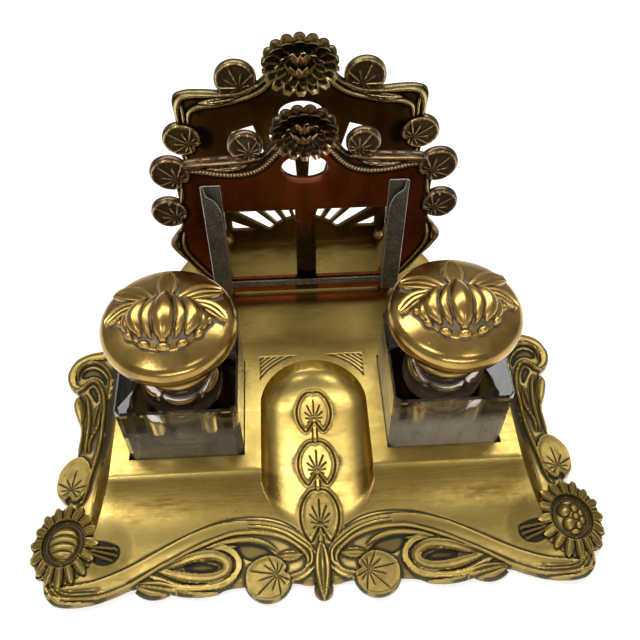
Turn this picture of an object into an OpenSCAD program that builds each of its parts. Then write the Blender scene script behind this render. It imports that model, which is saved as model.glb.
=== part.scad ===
// Desk inkstand: brass base with two glass inkwells, hinged lids and a letter rack.
// Origin at the middle of the footprint on the table, +X right, +Y to the rack, +Z up.

/* [Base] */
// Width over the corner flowers
base_w = 281; // [275:1:345]
// Depth from the front spike to the rear rim
base_d = 224; // [215:1:280]
// Height of the flat top above the table
top_h = 20; // [17:0.5:26]
// Thickness of the border, up to the foot of the cove
border_t = 5; // [4:0.5:6]
// Wall thickness of the hollow casting
wall = 2.5; // [2:0.1:3]
// Distance from the front spike to the front edge of the flat top
front_border = 60.5; // [56:0.5:74]
// Reach of the front cove, from the edge to its foot
front_cove = 42; // [34:1:46]
// Reach of the side coves
side_cove = 12; // [8:0.5:14]
// Half width of the narrow rear part that carries the rack
rack_half = 79; // [72:1:90]
// Radius of the rear corners
rear_r = 42; // [25:1:42]

/* [Tray] */
// Half width of the scooped tray between the wells
tray_half = 28; // [22:0.5:36]
// Depth of the tray
tray_depth = 13; // [9:0.5:13.5]

/* [Inkwells] */
// Side of the square well
well_side = 58; // [48:0.5:64]
// Clearance of the glass in its well, each side
well_gap = 0.35; // [0.2:0.05:0.6]
// Height of the well floor above the table
well_floor = 4.5; // [3.5:0.5:6]
// Flat metal between tray and well
well_bridge = 8.1; // [6:0.1:12]
// Flat metal in front of the well
well_front = 8.2; // [6:0.1:12]
// Flat metal outside the well
well_outer = 8.9; // [6:0.1:12]
// Height of the glass block
glass_h = 57.3; // [48:0.5:64]
// Chamfer on the upright corners of the glass
glass_chamfer = 3.3; // [2:0.1:5]
// Outer radius of the glass neck
neck_r = 14; // [12:0.5:17]
// Wall of the glass neck
neck_wall = 2.5; // [2:0.1:3.5]
// Radius of the ink cavity
cavity_r = 19; // [16:0.5:21]

/* [Lids] */
// Height of the collar above the glass
collar_h = 17; // [14:0.5:22]
// Thickness of the collar band
collar_t = 1.8; // [1.4:0.1:2.4]
// Largest radius of the lid
lid_r = 31.2; // [28:0.1:38]
// Height of the lid from pan to crown
lid_h = 24; // [20:0.5:29]
// Thickness of the lid shell
lid_t = 1.2; // [1:0.1:1.6]
// Radius of the hinge pin
pin_r = 1; // [0.8:0.05:1.4]
// Running clearance of the pin in the lid's knuckle
pin_gap = 0.05; // [0.02:0.01:0.1]
// Wall of metal round the hinge pin
ear_wall = 1.4; // [1.1:0.1:1.8]
// Distance from the collar's band to the hinge pin
hinge_reach = 4.2; // [3.8:0.1:6]

/* [Rack] */
// Thickness of the rack plates
plate_t = 2.5; // [2:0.1:3]
// Space for letters between the plates
letter_gap = 39.5; // [30:0.5:44]
// Height of the front plate's corners above the flat top
front_h = 101; // [92:1:121]
// Height of the rear plate's corners above the flat top
rear_h = 110; // [104:1:132]
// Height of the window tops above the flat top
window_top = 66; // [52:1:68]
// Height of the window sills above the flat top
window_sill = 13.5; // [12.5:0.5:18]
// Half width of the windows together
window_half = 42.5; // [36:0.5:44]
// Width of the upright between the windows
mullion_w = 11; // [8:0.5:14]
// Radius of the fixing bolts
bolt_r = 1.5; // [1.2:0.1:2]

/* [Card holder] */
// Width of a channel's front strip
channel_w = 9.6; // [8:0.2:11]
// Sheet thickness of channels and rail
sheet_t = 0.8; // [0.6:0.1:1]
// Space for the cards
card_gap = 3; // [2.5:0.1:4]

/* [Hidden] */
$fn = 48;
big = 400;       // longer than any cut needs
eps = 0.02;      // overlap between fused shapes

brass = [0.72, 0.58, 0.27];
dark_brass = [0.48, 0.38, 0.18];
copper_brown = [0.45, 0.22, 0.10];
grey_metal = [0.32, 0.32, 0.31];
clear_glass = [0.75, 0.78, 0.80, 0.4];

half_w = base_w / 2;
front_y = -base_d / 2;
rear_y = base_d / 2;
top_y = front_y + front_border;
well_x = tray_half + well_bridge + well_side / 2;
well_y = top_y + well_front + well_side / 2;
top_half = well_x + well_side / 2 + well_outer;
block_rear_y = well_y + well_side / 2 + 20;
block_back_cove = 5;
rear_rim = 2;       // the border shows this much behind the rear block

glass_side = well_side - 2 * well_gap;
glass_top = well_floor + glass_h;
collar_r = neck_r + collar_t;
collar_top = glass_top + collar_h;
ear_r = pin_r + ear_wall;
pan_gap = 0.3;     // clearance between ears and lid pan
hinge_y = collar_r + hinge_reach;
hinge_z = collar_top - ear_r - pan_gap;
knuckle_half = 3;
ear_gap = 0.2;
ear_len = 4.2;
pin_head_t = 0.8;

rear_plate_y = rear_y - 8;
front_plate_y = rear_plate_y - letter_gap - plate_t;
front_bolt_z = top_h + 8;
rear_bolt_z = top_h + 6;
lug_w = 7.4;
foot_x = 49.2;      // half width of the plates at their feet
bolt_x = foot_x - lug_w / 2;
lug_t = 3.5;
channel_x = window_half + 0.4;
rail_z = top_h + window_sill - 2;
holder_y = front_plate_y - card_gap - sheet_t;
foot_gap = 2.2;     // daylight under the front plate, between its feet
flange_z = 13.5;
lip_h = 4;
strip_foot = 5;      // foot of the channels above the flat top
strip_top = 87.5;    // tip of the channels' ogee
channel_h = 78;      // height of their sides
flange_h = 72;
bolt_head_r = 2.8;
bolt_head_h = 2;
bolt_len = plate_t + lug_t + 2.4;
nut_r = 3.2;
nut_depth = 2.6;
nut_flat = 2.4;      // height of the nut below its dome

spike_r = 4.6;
pad_at = [26, front_y + 11.6];
pad_r = 11.6;
flower_size = [16.6, 21.4];    // half width and half depth of the corner flower
flower_at = [half_w - flower_size[0], front_y + 32];
side_leaf_at = [half_w - 17, front_y + 67.5];
curl_y = well_y + 36.3;
tray_y = well_y - 0.3;
tray_power = 2.5;

cavity_floor = 8;
shoulder_t = 3.7;
glass_edge = 1;
collar_lip = 1.5;

rim_upper = 6.5;    // radius of the rim above the lid's widest line
rim_lower = 11.5;   // radius of the rim below it
rim_z = collar_top + rim_lower;
crown_z = collar_top + lid_h;
crown_rise = crown_z - rim_z;
crown_ball = (pow(lid_r - rim_upper, 2) + crown_rise * crown_rise - rim_upper * rim_upper)
    / (2 * (crown_rise - rim_upper));
rim_meet = (lid_r - rim_upper) * crown_ball / (crown_ball - rim_upper);
pan_r = lid_r - rim_lower + 2;
lily_ball = 60.3;    // radius of the ball that the lily is drawn on

// Openwork of the rear plate: inner radius, foot band, half width, and each slot's two angles from
// upright and its highest point
sun_r = 26;
sun_band = 11.3;
sun_half = 43;
ray_gaps = [[3.3, 11.5, rear_h - 28], [15.5, 23, rear_h], [28.5, 37.5, rear_h - 44], [42, 52.5, rear_h - 44],
    [61, 78, rear_h - 44]];

// A smooth curve through the points: n steps from each point to the next
function curve_at(a, b, c, d, t) =
    0.5 * (2 * b + (c - a) * t + (2 * a - 5 * b + 4 * c - d) * t * t + (3 * b - a - 3 * c + d) * t * t * t);
function smooth(p, n = 4) = [
    for (i = [0 : len(p) - 2]) for (k = [0 : n - 1])
        curve_at(p[max(i - 1, 0)], p[i], p[i + 1], p[min(i + 2, len(p) - 1)], k / n),
    p[len(p) - 1]];
module mirrored() {
    children();
    mirror([1, 0, 0]) children();
}

// An upright slab: the 2D shape stands in the X-Z plane with its back face at y
module upright(y, thickness) {
    translate([0, y + thickness, 0]) rotate([90, 0, 0]) linear_extrude(thickness) children();
}

// A petal or leaf, pointed at both ends and domed: l long in Y, w wide in X, h high above its middle plane
module petal(l, w, h) {
    rise = h * 0.85;
    ball = (l * l / 4 + rise * rise) / (2 * rise);
    intersection() {
        translate([0, 0, -2]) rotate(90) linear_extrude(h + 2.5) lens(l, w);
        translate([0, 0, h - ball]) sphere(ball);
    }
}

// Base: the cove falls from the edge of the flat top, steep at first and flat at its foot
function cove(edge, reach, top, foot) =
    [for (i = [0 : 12]) let (s = i / 12) [edge + reach * s, foot + (top - foot) * pow(1 - s, 2.2)]];

// Everything on the inner side of an edge that faces direction a, with its cove
module cove_side(a, edge, reach, top, foot) {
    rotate([0, 0, a]) rotate([90, 0, 0]) translate([0, 0, -big / 2]) linear_extrude(big)
        polygon(concat([[-big, 0], [-big, top]], cove(edge, reach, top, foot), [[edge + reach, 0]]));
}

// The wide front block that holds the wells, set in by d on every side, or grown where d is negative
module front_block(d = 0) {
    top = top_h - d;
    foot = border_t - d;
    intersection() {
        cove_side(0, top_half - d, side_cove, top, foot);
        cove_side(180, top_half - d, side_cove, top, foot);
        cove_side(-90, -top_y - d, front_cove, top, foot);
        cove_side(90, block_rear_y - d, block_back_cove, top, foot);
    }
}

// Plan of the narrower rear block that carries the rack, with rounded rear corners
module rear_plan(d = 0) {
    edge = rear_y - rear_rim - d;
    side = rack_half - d;
    r = rear_r - d;
    translate([-side, well_y]) square([2 * side, edge - r - well_y]);
    translate([r - side, well_y]) square([2 * (side - r), edge - well_y]);
    mirrored() translate([side - r, edge - r]) circle(r);
}

// Right half of the border's edge: the front from the spike to the corner flower, then the side and its curl
function front_edge() = let (f = front_y) smooth([[-1, f + 8], [7, f + 7.5], [16, f + 9], [43, f + 8],
    [51, f + 5.4], [61, f + 4.8], [71, f + 6.5], [80, f + 10], [90, f + 10], [98, f + 7], [108, f + 4],
    [half_w - 21, f + 3.2], [half_w - 13, f + 5.5], [half_w - 9, f + 12], [half_w - 9, f + 22]]);
function side_edge() = let (s = half_w, c = curl_y) smooth([[s - 12, front_y + 45], [s - 15, front_y + 56],
    [s - 15.5, c - 50], [s - 15.5, c - 38], [s - 12, c - 29], [s - 9.5, c - 21], [s - 11.5, c - 15],
    [s - 9, c - 12], [s - 5, c - 8], [s - 3.5, c], [s - 8, c + 9.5], [s - 17, c + 13.5], [s - 25, c + 14.5],
    [s - 33, c + 18], [s - 44, c + 29], [s - 52, c + 44], [rack_half + 2, c + 64]]);
module border_plan() {
    mirrored() {
        polygon(concat(front_edge(), side_edge(), [[-1, curl_y + 64]]));
        translate([0, front_y + spike_r]) circle(spike_r);
        translate(pad_at) circle(pad_r);
        translate([78, front_y + 9.5]) rotate(-8) lens(21, 9.5);
        translate(flower_at) flower_plan(flower_size, 16);
        translate(side_leaf_at) rotate(10) scaled_oval(13, 9.7);
    }
    rear_plan(-rear_rim);
}

// Plan shapes: an oval, a pointed leaf along X, and an oval flower of n pointed petals, whose half width
// and half depth are size, the first petal turned by a share of the step between two
module scaled_oval(a, b) { polygon([for (t = [0 : 10 : 350]) [b * cos(t), a * sin(t)]]); }
module lens(l, w) {
    r = (l * l + w * w) / (4 * w);
    intersection() {
        translate([0, r - w / 2]) circle(r);
        translate([0, w / 2 - r]) circle(r);
    }
}
module flower_plan(size, n, turn = 0) {
    l = min(size) * 0.62;
    scaled_oval(size[1] * 0.7, size[0] * 0.7);
    for (i = [0 : n - 1]) let (t = (i + turn) * 360 / n)
        translate([(size[0] - l / 2) * cos(t), (size[1] - l / 2) * sin(t)])
            rotate(atan2(size[0] * sin(t), size[1] * cos(t))) lens(l, l * 0.52);
}

// A low dome of radius r and height h, standing on the plane
module dome(r, h) {
    ball = (r * r + h * h) / (2 * h);
    intersection() {
        translate([0, 0, h - ball]) sphere(ball);
        cylinder(r = r, h = h);
    }
}

// A flower in relief: two rings of petals, a sunk ring and a bud in the middle
module flower(size, n, h) {
    difference() {
        union() {
            linear_extrude(h * 0.5) flower_plan(size, n);
            linear_extrude(h * 0.75) flower_plan(size * 0.82, n, 0.5);
        }
        translate([0, 0, h * 0.4]) linear_extrude(h) scaled_oval(size[1] * 0.62, size[0] * 0.62);
    }
    dome(min(size) * 0.54, h);
}

// The broad band that swings along the front, the right half
function band() = concat(
    smooth([[flower_at[0] - 6, front_y + 9], [112, front_y + 12], [100.6, -96.3], [87.3, -90.4],
        [73.7, -83.4], [59.7, -77.1], [45.4, -72.8], [30.8, -72.1], [16.3, -76], [7.9, -82], [3.3, -88], [1, -96]]),
    smooth([[3.6, -101], [6.5, -94.5], [9.1, -88.5], [16.6, -83.7], [28.1, -81], [42.5, -80.7],
        [54.8, -83], [66, -88.3], [76, -93.5], [84.7, -99.5], [94, front_y + 9.5], [106, front_y + 6.5],
        [flower_at[0] - 6, front_y + 6]]));

// What stands on the cove and the border, h proud of them: the plan shape that is its child
module in_relief(h) {
    intersection() {
        linear_extrude(top_h + h) children();
        union() {
            front_block(-h);
            linear_extrude(border_t + h) border_plan();
        }
    }
}

// The scooped tray: straight sides to the front, a round end at the back; grown by d for its shell
module tray(d = 0) {
    w = tray_half + d;
    h = tray_depth + d;
    profile = [for (i = [0 : 12]) let (a = 90 * i / 12)
        [w * pow(cos(a), 2 / tray_power), -h * pow(sin(a), 2 / tray_power)]];
    over = d > 0 ? 0 : 1;
    translate([0, tray_y, top_h - (d > 0 ? eps : 0)]) {
        rotate_extrude(angle = 180) polygon(concat([[0, over], [w, over]], profile));
        rotate([90, 0, 0]) linear_extrude(-front_y)
            polygon(concat(profile, [for (i = [11 : -1 : 0]) [-profile[i][0], profile[i][1]]],
                [[-w, over], [w, over]]));
    }
}

module well(d = 0, floor_z = well_floor) {
    side = well_side + 2 * d;
    mirrored() translate([well_x - side / 2, well_y - side / 2, floor_z])
        cube([side, side, top_h - floor_z + (d > 0 ? -eps : 1)]);
}

// A cast lug that a rack plate is bolted to, its round head level with the bolt
module lug(y, bolt_z) {
    mirrored() translate([bolt_x, y, 0]) difference() {
        upright(0, lug_t) {
            translate([-lug_w / 2, top_h - 1]) square([lug_w, bolt_z - top_h + 1]);
            translate([0, bolt_z]) circle(lug_w / 2);
        }
        translate([0, -1, bolt_z]) rotate([-90, 0, 0]) cylinder(r = bolt_r, h = lug_t + 2);
    }
}

module base() {
    color(brass) {
        difference() {
            union() {
                difference() {
                    union() {
                        linear_extrude(border_t) border_plan();
                        front_block();
                        linear_extrude(top_h) rear_plan();
                        in_relief(1.2) mirrored() polygon(band());
                    }
                    translate([0, 0, -eps]) front_block(wall);
                    translate([0, 0, -1]) linear_extrude(top_h - wall + 1) rear_plan(wall);
                }
                well(wall, well_floor - wall);
                intersection() {
                    tray(wall);
                    front_block(eps);
                }
            }
            well();
            tray();
        }
        mirrored() {
            translate([flower_at[0], flower_at[1], border_t - 0.5]) flower(flower_size - [0.6, 0.6], 16, 6.5);
            translate([pad_at[0], pad_at[1], border_t - 0.5]) dome(pad_r - 0.5, 2.5);
            translate([0, front_y + 10, border_t - 0.5]) rotate(90) linear_extrude(2.5) lens(18, 7);
        }
        lug(front_plate_y + plate_t, front_bolt_z);
        lug(rear_plate_y + plate_t, rear_bolt_z);
    }
}

// Inkwell: a glass cube with bevelled edges, a round neck and a round-bottomed ink cavity
module bevelled(side, c) {
    s = side / 2;
    polygon([[-s, c - s], [c - s, -s], [s - c, -s], [s, c - s],
        [s, s - c], [s - c, s], [c - s, s], [-s, s - c]]);
}
module inkwell() {
    bore = neck_r - neck_wall;
    low = well_floor + cavity_floor + cavity_r;
    high = glass_top - shoulder_t - sqrt(cavity_r * cavity_r - bore * bore);
    color(clear_glass) difference() {
        union() {
            intersection() {
                translate([0, 0, well_floor]) linear_extrude(glass_h) bevelled(glass_side, glass_chamfer);
                translate([0, glass_side / 2, well_floor + glass_h / 2]) rotate([90, 0, 0])
                    linear_extrude(glass_side) side_bevel();
                translate([-glass_side / 2, 0, well_floor + glass_h / 2]) rotate([90, 0, 90])
                    linear_extrude(glass_side) side_bevel();
            }
            translate([0, 0, glass_top - 1]) cylinder(r = neck_r, h = collar_h + 1 - collar_lip);
        }
        translate([0, 0, low]) sphere(cavity_r);
        translate([0, 0, low]) cylinder(r = cavity_r, h = high - low);
        translate([0, 0, high]) sphere(cavity_r);
        translate([0, 0, high]) cylinder(r = bore, h = glass_top + collar_h - high);
    }
}
module side_bevel() {
    s = glass_side / 2;
    h = glass_h / 2;
    c = glass_edge;
    polygon([[-s, c - h], [c - s, -h], [s - c, -h], [s, c - h],
        [s, h - c], [s - c, h], [c - s, h], [-s, h - c]]);
}

// Collar: a band cemented on the neck, with a bead at its foot, a lip over the neck and two hinge ears
module collar() {
    z = glass_top;
    color(brass) difference() {
        union() {
            translate([0, 0, z]) rotate_extrude() {
                square([collar_r, collar_h]);
                translate([collar_r, 2.2]) circle(2.2);
                square([collar_r + 1.6, 1.2]);
                translate([collar_r, collar_h - 5.6]) circle(0.8);
            }
            mirrored() translate([knuckle_half + ear_gap, 0, 0]) {
                translate([0, hinge_y, hinge_z]) rotate([0, 90, 0]) cylinder(r = ear_r, h = ear_len);
                translate([0, collar_r - 2, hinge_z - ear_r])
                    cube([ear_len, hinge_y - collar_r + 2, 2 * ear_r]);
            }
        }
        translate([0, 0, z - 1]) cylinder(r = neck_r, h = collar_h + 1 - collar_lip);
        translate([0, 0, z]) cylinder(r = neck_r - neck_wall, h = collar_h + 1);
        translate([-big / 2, hinge_y, hinge_z]) rotate([0, 90, 0]) cylinder(r = pin_r, h = big);
    }
}

// Hinge pin, tight in the ears, with a small head on each end
module hinge_pin() {
    x = knuckle_half + ear_gap + ear_len;
    color(dark_brass) translate([0, hinge_y, hinge_z]) rotate([0, 90, 0]) {
        translate([0, 0, -x - eps]) cylinder(r = pin_r, h = 2 * (x + eps));
        mirror([0, 0, 1]) translate([0, 0, x]) cylinder(r = pin_r + 0.7, h = pin_head_t);
        translate([0, 0, x]) cylinder(r = pin_r + 0.7, h = pin_head_t);
    }
}

// Lid: a spherical cap runs into a rounded rim; t sets the surface in by the thickness of the shell
module lid_profile(t = 0) {
    cap = crown_ball - t;
    intersection() {
        translate([0, crown_z - crown_ball]) circle(cap);
        translate([0, rim_z]) square([rim_meet, lid_h]);
    }
    intersection() {
        translate([lid_r - rim_upper, rim_z]) circle(rim_upper - t);
        translate([0, rim_z - eps]) square([lid_r, lid_h]);
    }
    intersection() {
        translate([lid_r - rim_lower, rim_z]) circle(rim_lower - t);
        translate([0, rim_z - rim_lower + t]) square([lid_r, rim_lower - t + eps]);
    }
    translate([0, rim_z - rim_lower + t]) square([lid_r - rim_lower, rim_lower - t + eps]);
}
module lid() {
    color(brass) rotate_extrude() difference() {
        lid_profile();
        lid_profile(lid_t);
        translate([0, collar_top - 1]) square([pan_r, lid_t + 2]);
    }
}

// Pan: closes the lid from below, seats on the collar and carries the middle knuckle of the hinge
module lid_pan() {
    color(brass) difference() {
        union() {
            translate([0, 0, collar_top]) cylinder(r = pan_r, h = lid_t);
            translate([-knuckle_half, hinge_y, hinge_z]) rotate([0, 90, 0])
                cylinder(r = ear_r, h = 2 * knuckle_half);
            translate([-knuckle_half, hinge_y - ear_r, hinge_z])
                cube([2 * knuckle_half, 2 * ear_r, collar_top - hinge_z]);
        }
        translate([-big / 2, hinge_y, hinge_z]) rotate([0, 90, 0]) cylinder(r = pin_r + pin_gap, h = big);
    }
}

// What lies on the lily's ball, at arc distance d from the top in direction a
module on_ball(a, d) {
    rotate([0, 0, a]) rotate([-d / lily_ball * 180 / PI, 0, 0]) translate([0, 0, lily_ball]) children();
}
// Water lily on the lid: five open petals at the back, a bud of upright lobes and a row of beads in front
// It is drawn on a ball round the origin, then scaled to the crown
module lily() {
    color(brass) translate([0, 0, crown_z - crown_ball]) scale(crown_ball / lily_ball) difference() {
        union() {
            for (a = [-84, -56, 0, 56, 84]) on_ball(-a, 13.5) petal(20, 9.5, 2.4);
            for (a = [-2 : 2]) let (b = abs(a)) on_ball(180 + a * 36, 5 + 0.3 * b) petal(15 - b, 7, 6 - 0.8 * b);
            for (a = [-3 : 3]) on_ball(180 + a * 18.5, 13.8) sphere(2.4);
            on_ball(0, 0) translate([0, 0, -1]) dome(8.5, 4.2);
        }
        sphere(lily_ball);
    }
}

// Rack plates, drawn upright with their feet on the flat top
module oval(z, a, b) { translate([0, z]) polygon([for (t = [0 : 10 : 350]) [a * cos(t), b * sin(t)]]); }
module leaf(x, z, r) { mirrored() translate([x, z]) circle(r); }

module front_outline() {
    h = front_h;
    mirrored() polygon(concat([[-1, foot_gap], [foot_x - 5, foot_gap], [foot_x - 5, 0]], smooth([[foot_x, 0],
        [foot_x + 1, 7], [foot_x + 4.5, 13], [foot_x + 10.5, 20], [foot_x + 16.2, 30], [foot_x + 21, 37],
        [foot_x + 24, 44], [foot_x + 21, 50], [foot_x + 16.5, 57], [foot_x + 15, h * 0.67],
        [foot_x + 15, h - 10], [foot_x + 11, h - 2], [foot_x + 5.5, h - 0.2], [foot_x - 4, h + 0.5],
        [foot_x - 14, h + 1], [22, h + 1], [16, h + 8], [10, h + 14], [-1, h + 16]])));
    leaf(foot_x + 21, h - 33.5, 9.6);
    leaf(foot_x + 17.2, h - 7.6, 10);
    leaf(28.5, h + 7.5, 8.5);
    translate([0, h + 15.5]) flower_oval(16.3, 13.7, 14);
}
module flower_oval(a, b, n) {
    oval(0, a * 0.8, b * 0.8);
    for (i = [0 : n - 1]) let (t = i * 360 / n)
        translate([(a - 3.2) * cos(t), (b - 3.2) * sin(t)]) circle(3.2);
}

module rack_front_plate() {
    color(copper_brown) difference() {
        translate([0, 0, top_h]) {
            upright(front_plate_y, plate_t) difference() {
                front_outline();
                mirrored() translate([mullion_w / 2, window_sill])
                    square([window_half - mullion_w / 2, window_top - window_sill]);
                oval(front_h - 6.5, 11.4, 7.3);
            }
            on_face(front_plate_y) {
                mirrored() {
                    translate([foot_x + 21, front_h - 33.5, 0]) dome(9, 1.6);
                    translate([foot_x + 17.2, front_h - 7.6, 0]) dome(9.4, 1.6);
                    translate([28.5, front_h + 7.5, 0]) dome(8, 1.6);
                }
                translate([0, front_h + 15.5, 0]) {
                    flower([14.6, 12.3], 14, 4);
                }
            }
        }
        bolt_holes(front_plate_y, front_bolt_z);
    }
}

// Drawn flat with +Z up, stood on the front face of an upright plate
module on_face(y) { translate([0, y + eps, 0]) rotate([90, 0, 0]) children(); }
module bolt_holes(y, z) {
    mirrored() translate([bolt_x, y - 1, z]) rotate([-90, 0, 0]) cylinder(r = bolt_r, h = plate_t + 2);
}

module rear_outline() {
    h = rear_h;
    mirrored() polygon(concat([[-1, 0]], smooth([[foot_x + 0.5, 0], [foot_x + 2.5, 12], [foot_x + 6, 25],
        [foot_x + 13, 50], [foot_x + 17, 70], [foot_x + 16.5, 84], [foot_x + 17, h - 15], [foot_x + 17, h - 3],
        [foot_x + 11, h + 0.7], [foot_x + 2, h + 1], [foot_x - 8, h + 0.2], [30, h + 1], [22, h + 5],
        [14, h + 12], [-1, h + 16]])));
    leaf(foot_x + 15.5, h - 29, 10.5);
    leaf(33, h + 7, 10.8);
    translate([0, h + 15.8]) flower_oval(19.6, 15.5, 16);
}
// The openwork sunburst: slots between rays that spread from a sun below the foot of the plate
module sun_slots() {
    sun_z = -5;
    intersection() {
        mirrored() for (a = ray_gaps) intersection() {
            translate([0, sun_z])
                polygon([sun_r * sun_ray(a[0]), big * sun_ray(a[0]), big * sun_ray(a[1]), sun_r * sun_ray(a[1])]);
            translate([0, sun_band]) square([sun_half, a[2] - sun_band]);
        }
        translate([0, sun_z]) circle(rear_h - 13);
    }
}
function sun_ray(a) = [sin(a), cos(a)];

module rack_rear_plate() {
    color(dark_brass) difference() {
        translate([0, 0, top_h]) {
            upright(rear_plate_y, plate_t) difference() {
                rear_outline();
                sun_slots();
                oval(rear_h - 14.5, 11.9, 7.5);
            }
            on_face(rear_plate_y) {
                mirrored() {
                    translate([foot_x + 15.5, rear_h - 29, 0]) dome(9.8, 1.6);
                    translate([33, rear_h + 7, 0]) dome(10.2, 1.6);
                }
                translate([0, rear_h + 15.8, 0]) flower([17.8, 14], 16, 5);
            }
        }
        bolt_holes(rear_plate_y, rear_bolt_z);
    }
}

// Bolts: heads on the front plate's face and behind the rear lugs; domed nuts on the other ends
module bolt(y_head, dir, length) {
    translate([0, y_head, 0]) rotate([-90 * dir, 0, 0]) {
        cylinder(r = bolt_r, h = length);
        mirror([0, 0, 1]) dome(bolt_head_r, bolt_head_h);
    }
}
module rack_bolts() {
    color(dark_brass) mirrored() translate([bolt_x, 0, 0]) {
        translate([0, 0, front_bolt_z]) bolt(front_plate_y, 1, bolt_len);
        translate([0, 0, rear_bolt_z]) bolt(rear_plate_y + plate_t + lug_t, -1, bolt_len);
    }
}
module domed_nut() {
    difference() {
        union() {
            cylinder(r = nut_r, h = nut_flat);
            translate([0, 0, nut_flat - eps]) dome(nut_r - 0.3, 3.2);
        }
        translate([0, 0, -1]) cylinder(r = bolt_r, h = nut_depth + 1);
    }
}
module rack_nuts() {
    color(brass) mirrored() translate([bolt_x, 0, 0]) {
        translate([0, front_plate_y + plate_t + lug_t, front_bolt_z]) rotate([-90, 0, 0]) domed_nut();
        translate([0, rear_plate_y, rear_bolt_z]) rotate([90, 0, 0]) domed_nut();
    }
}

// Card channel, folded from sheet: front strip with an ogee top, side and a flange on the plate
module channel_strip() {
    x = channel_x;
    w = channel_w;
    polygon(concat([[x, strip_foot], [x + w, strip_foot], [x + w, strip_top], [x + w - 1.5, strip_top]],
        smooth([[x + w - 1.9, strip_top - 3.1], [x + w - 2.6, 81.4], [x + w - 4.2, 79.8],
            [x + w - 6.4, 77.8], [x + 1.4, 73.6], [x + 0.3, 69], [x, 62]])));
}
module card_channel() {
    color(grey_metal) translate([0, 0, top_h]) {
        upright(holder_y, sheet_t) channel_strip();
        translate([channel_x + channel_w - sheet_t, holder_y, strip_foot])
            cube([sheet_t, card_gap + sheet_t, channel_h]);
        translate([window_half, front_plate_y - sheet_t, flange_z])
            cube([channel_x + channel_w - window_half, sheet_t, flange_h]);
    }
}
// Rail: a ledge between the channels that the cards stand on, its front lip and a flange on the plate
module card_rail() {
    inside = channel_x + channel_w - sheet_t;
    color(grey_metal) {
        translate([-inside, holder_y + sheet_t, rail_z]) cube([2 * inside, card_gap, sheet_t]);
        translate([-channel_x, holder_y, rail_z]) cube([2 * channel_x, sheet_t + eps, lip_h]);
        translate([4 - bolt_x, front_plate_y - sheet_t, rail_z - 3])
            cube([2 * (bolt_x - 4), sheet_t, 3 + eps]);
    }
}

module at_inkwell(side) { translate([side * well_x, well_y, 0]) children(); }

base();
at_inkwell(-1) inkwell();  // left_inkwell
at_inkwell(1) inkwell();  // right_inkwell
at_inkwell(-1) collar();  // left_collar
at_inkwell(1) collar();  // right_collar
at_inkwell(-1) hinge_pin();  // left_hinge_pin
at_inkwell(1) hinge_pin();  // right_hinge_pin
at_inkwell(-1) lid();  // left_lid
at_inkwell(1) lid();  // right_lid
at_inkwell(-1) lid_pan();  // left_lid_pan
at_inkwell(1) lid_pan();  // right_lid_pan
at_inkwell(-1) lily();  // left_lily
at_inkwell(1) lily();  // right_lily
rack_front_plate();
rack_rear_plate();
rack_bolts();
rack_nuts();
mirror([1, 0, 0]) card_channel();  // left_card_channel
card_channel();  // right_card_channel
card_rail();
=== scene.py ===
"""Desk inkstand: cast relief, cut glass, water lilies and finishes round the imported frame."""
import math

import bmesh
import bpy
import numpy as np
from bpy.props import FloatProperty, FloatVectorProperty, IntProperty, PointerProperty
from mathutils import Matrix, Vector
from mathutils.geometry import delaunay_2d_cdt
from mathutils.kdtree import KDTree


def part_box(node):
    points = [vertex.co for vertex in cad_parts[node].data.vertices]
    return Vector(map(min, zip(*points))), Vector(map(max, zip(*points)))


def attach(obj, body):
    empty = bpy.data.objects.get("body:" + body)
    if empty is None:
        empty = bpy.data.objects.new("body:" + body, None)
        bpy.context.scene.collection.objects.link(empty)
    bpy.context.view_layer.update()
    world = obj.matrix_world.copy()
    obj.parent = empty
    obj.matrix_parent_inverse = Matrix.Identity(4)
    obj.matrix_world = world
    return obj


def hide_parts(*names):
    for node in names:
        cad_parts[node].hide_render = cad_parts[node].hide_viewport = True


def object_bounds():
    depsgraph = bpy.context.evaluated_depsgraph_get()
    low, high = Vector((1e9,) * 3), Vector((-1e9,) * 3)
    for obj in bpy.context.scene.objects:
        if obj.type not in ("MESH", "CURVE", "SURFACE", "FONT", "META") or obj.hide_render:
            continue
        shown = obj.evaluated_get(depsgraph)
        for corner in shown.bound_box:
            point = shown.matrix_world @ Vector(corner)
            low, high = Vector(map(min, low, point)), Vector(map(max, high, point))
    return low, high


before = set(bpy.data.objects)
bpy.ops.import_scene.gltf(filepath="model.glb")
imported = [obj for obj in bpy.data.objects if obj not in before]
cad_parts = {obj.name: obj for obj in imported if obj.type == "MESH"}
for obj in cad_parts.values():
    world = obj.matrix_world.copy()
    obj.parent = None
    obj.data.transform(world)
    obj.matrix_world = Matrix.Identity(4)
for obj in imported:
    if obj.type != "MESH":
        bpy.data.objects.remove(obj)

bl_info = {
    "name": "Desk Inkstand",
    "version": (1, 0, 0),
    "blender": (4, 5, 0),
    "location": "3D Viewport > Sidebar > Inkstand",
    "description": "Cast relief, cut glass and finishes of a brass desk inkstand",
    "category": "Object",
}

MM = 0.001
CAD_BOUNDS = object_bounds()


def box_mm(node):
    """Lowest and highest corner of a CAD node, in millimetres"""
    low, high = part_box(node)
    return np.array(low) / MM, np.array(high) / MM


# Places that the frame gives, in millimetres
TOP_Z = box_mm("rack_rear_plate")[0][2]
WELL = (box_mm("right_inkwell")[0] + box_mm("right_inkwell")[1]) / 2
GLASS = box_mm("right_inkwell")[1] - box_mm("right_inkwell")[0]
WELL_FLOOR = box_mm("right_inkwell")[0][2]
LID_LOW, LID_HIGH = box_mm("right_lid")
COLLAR_LOW, COLLAR_HIGH = box_mm("right_collar")

SIDES = (("left", -1), ("right", 1))

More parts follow.
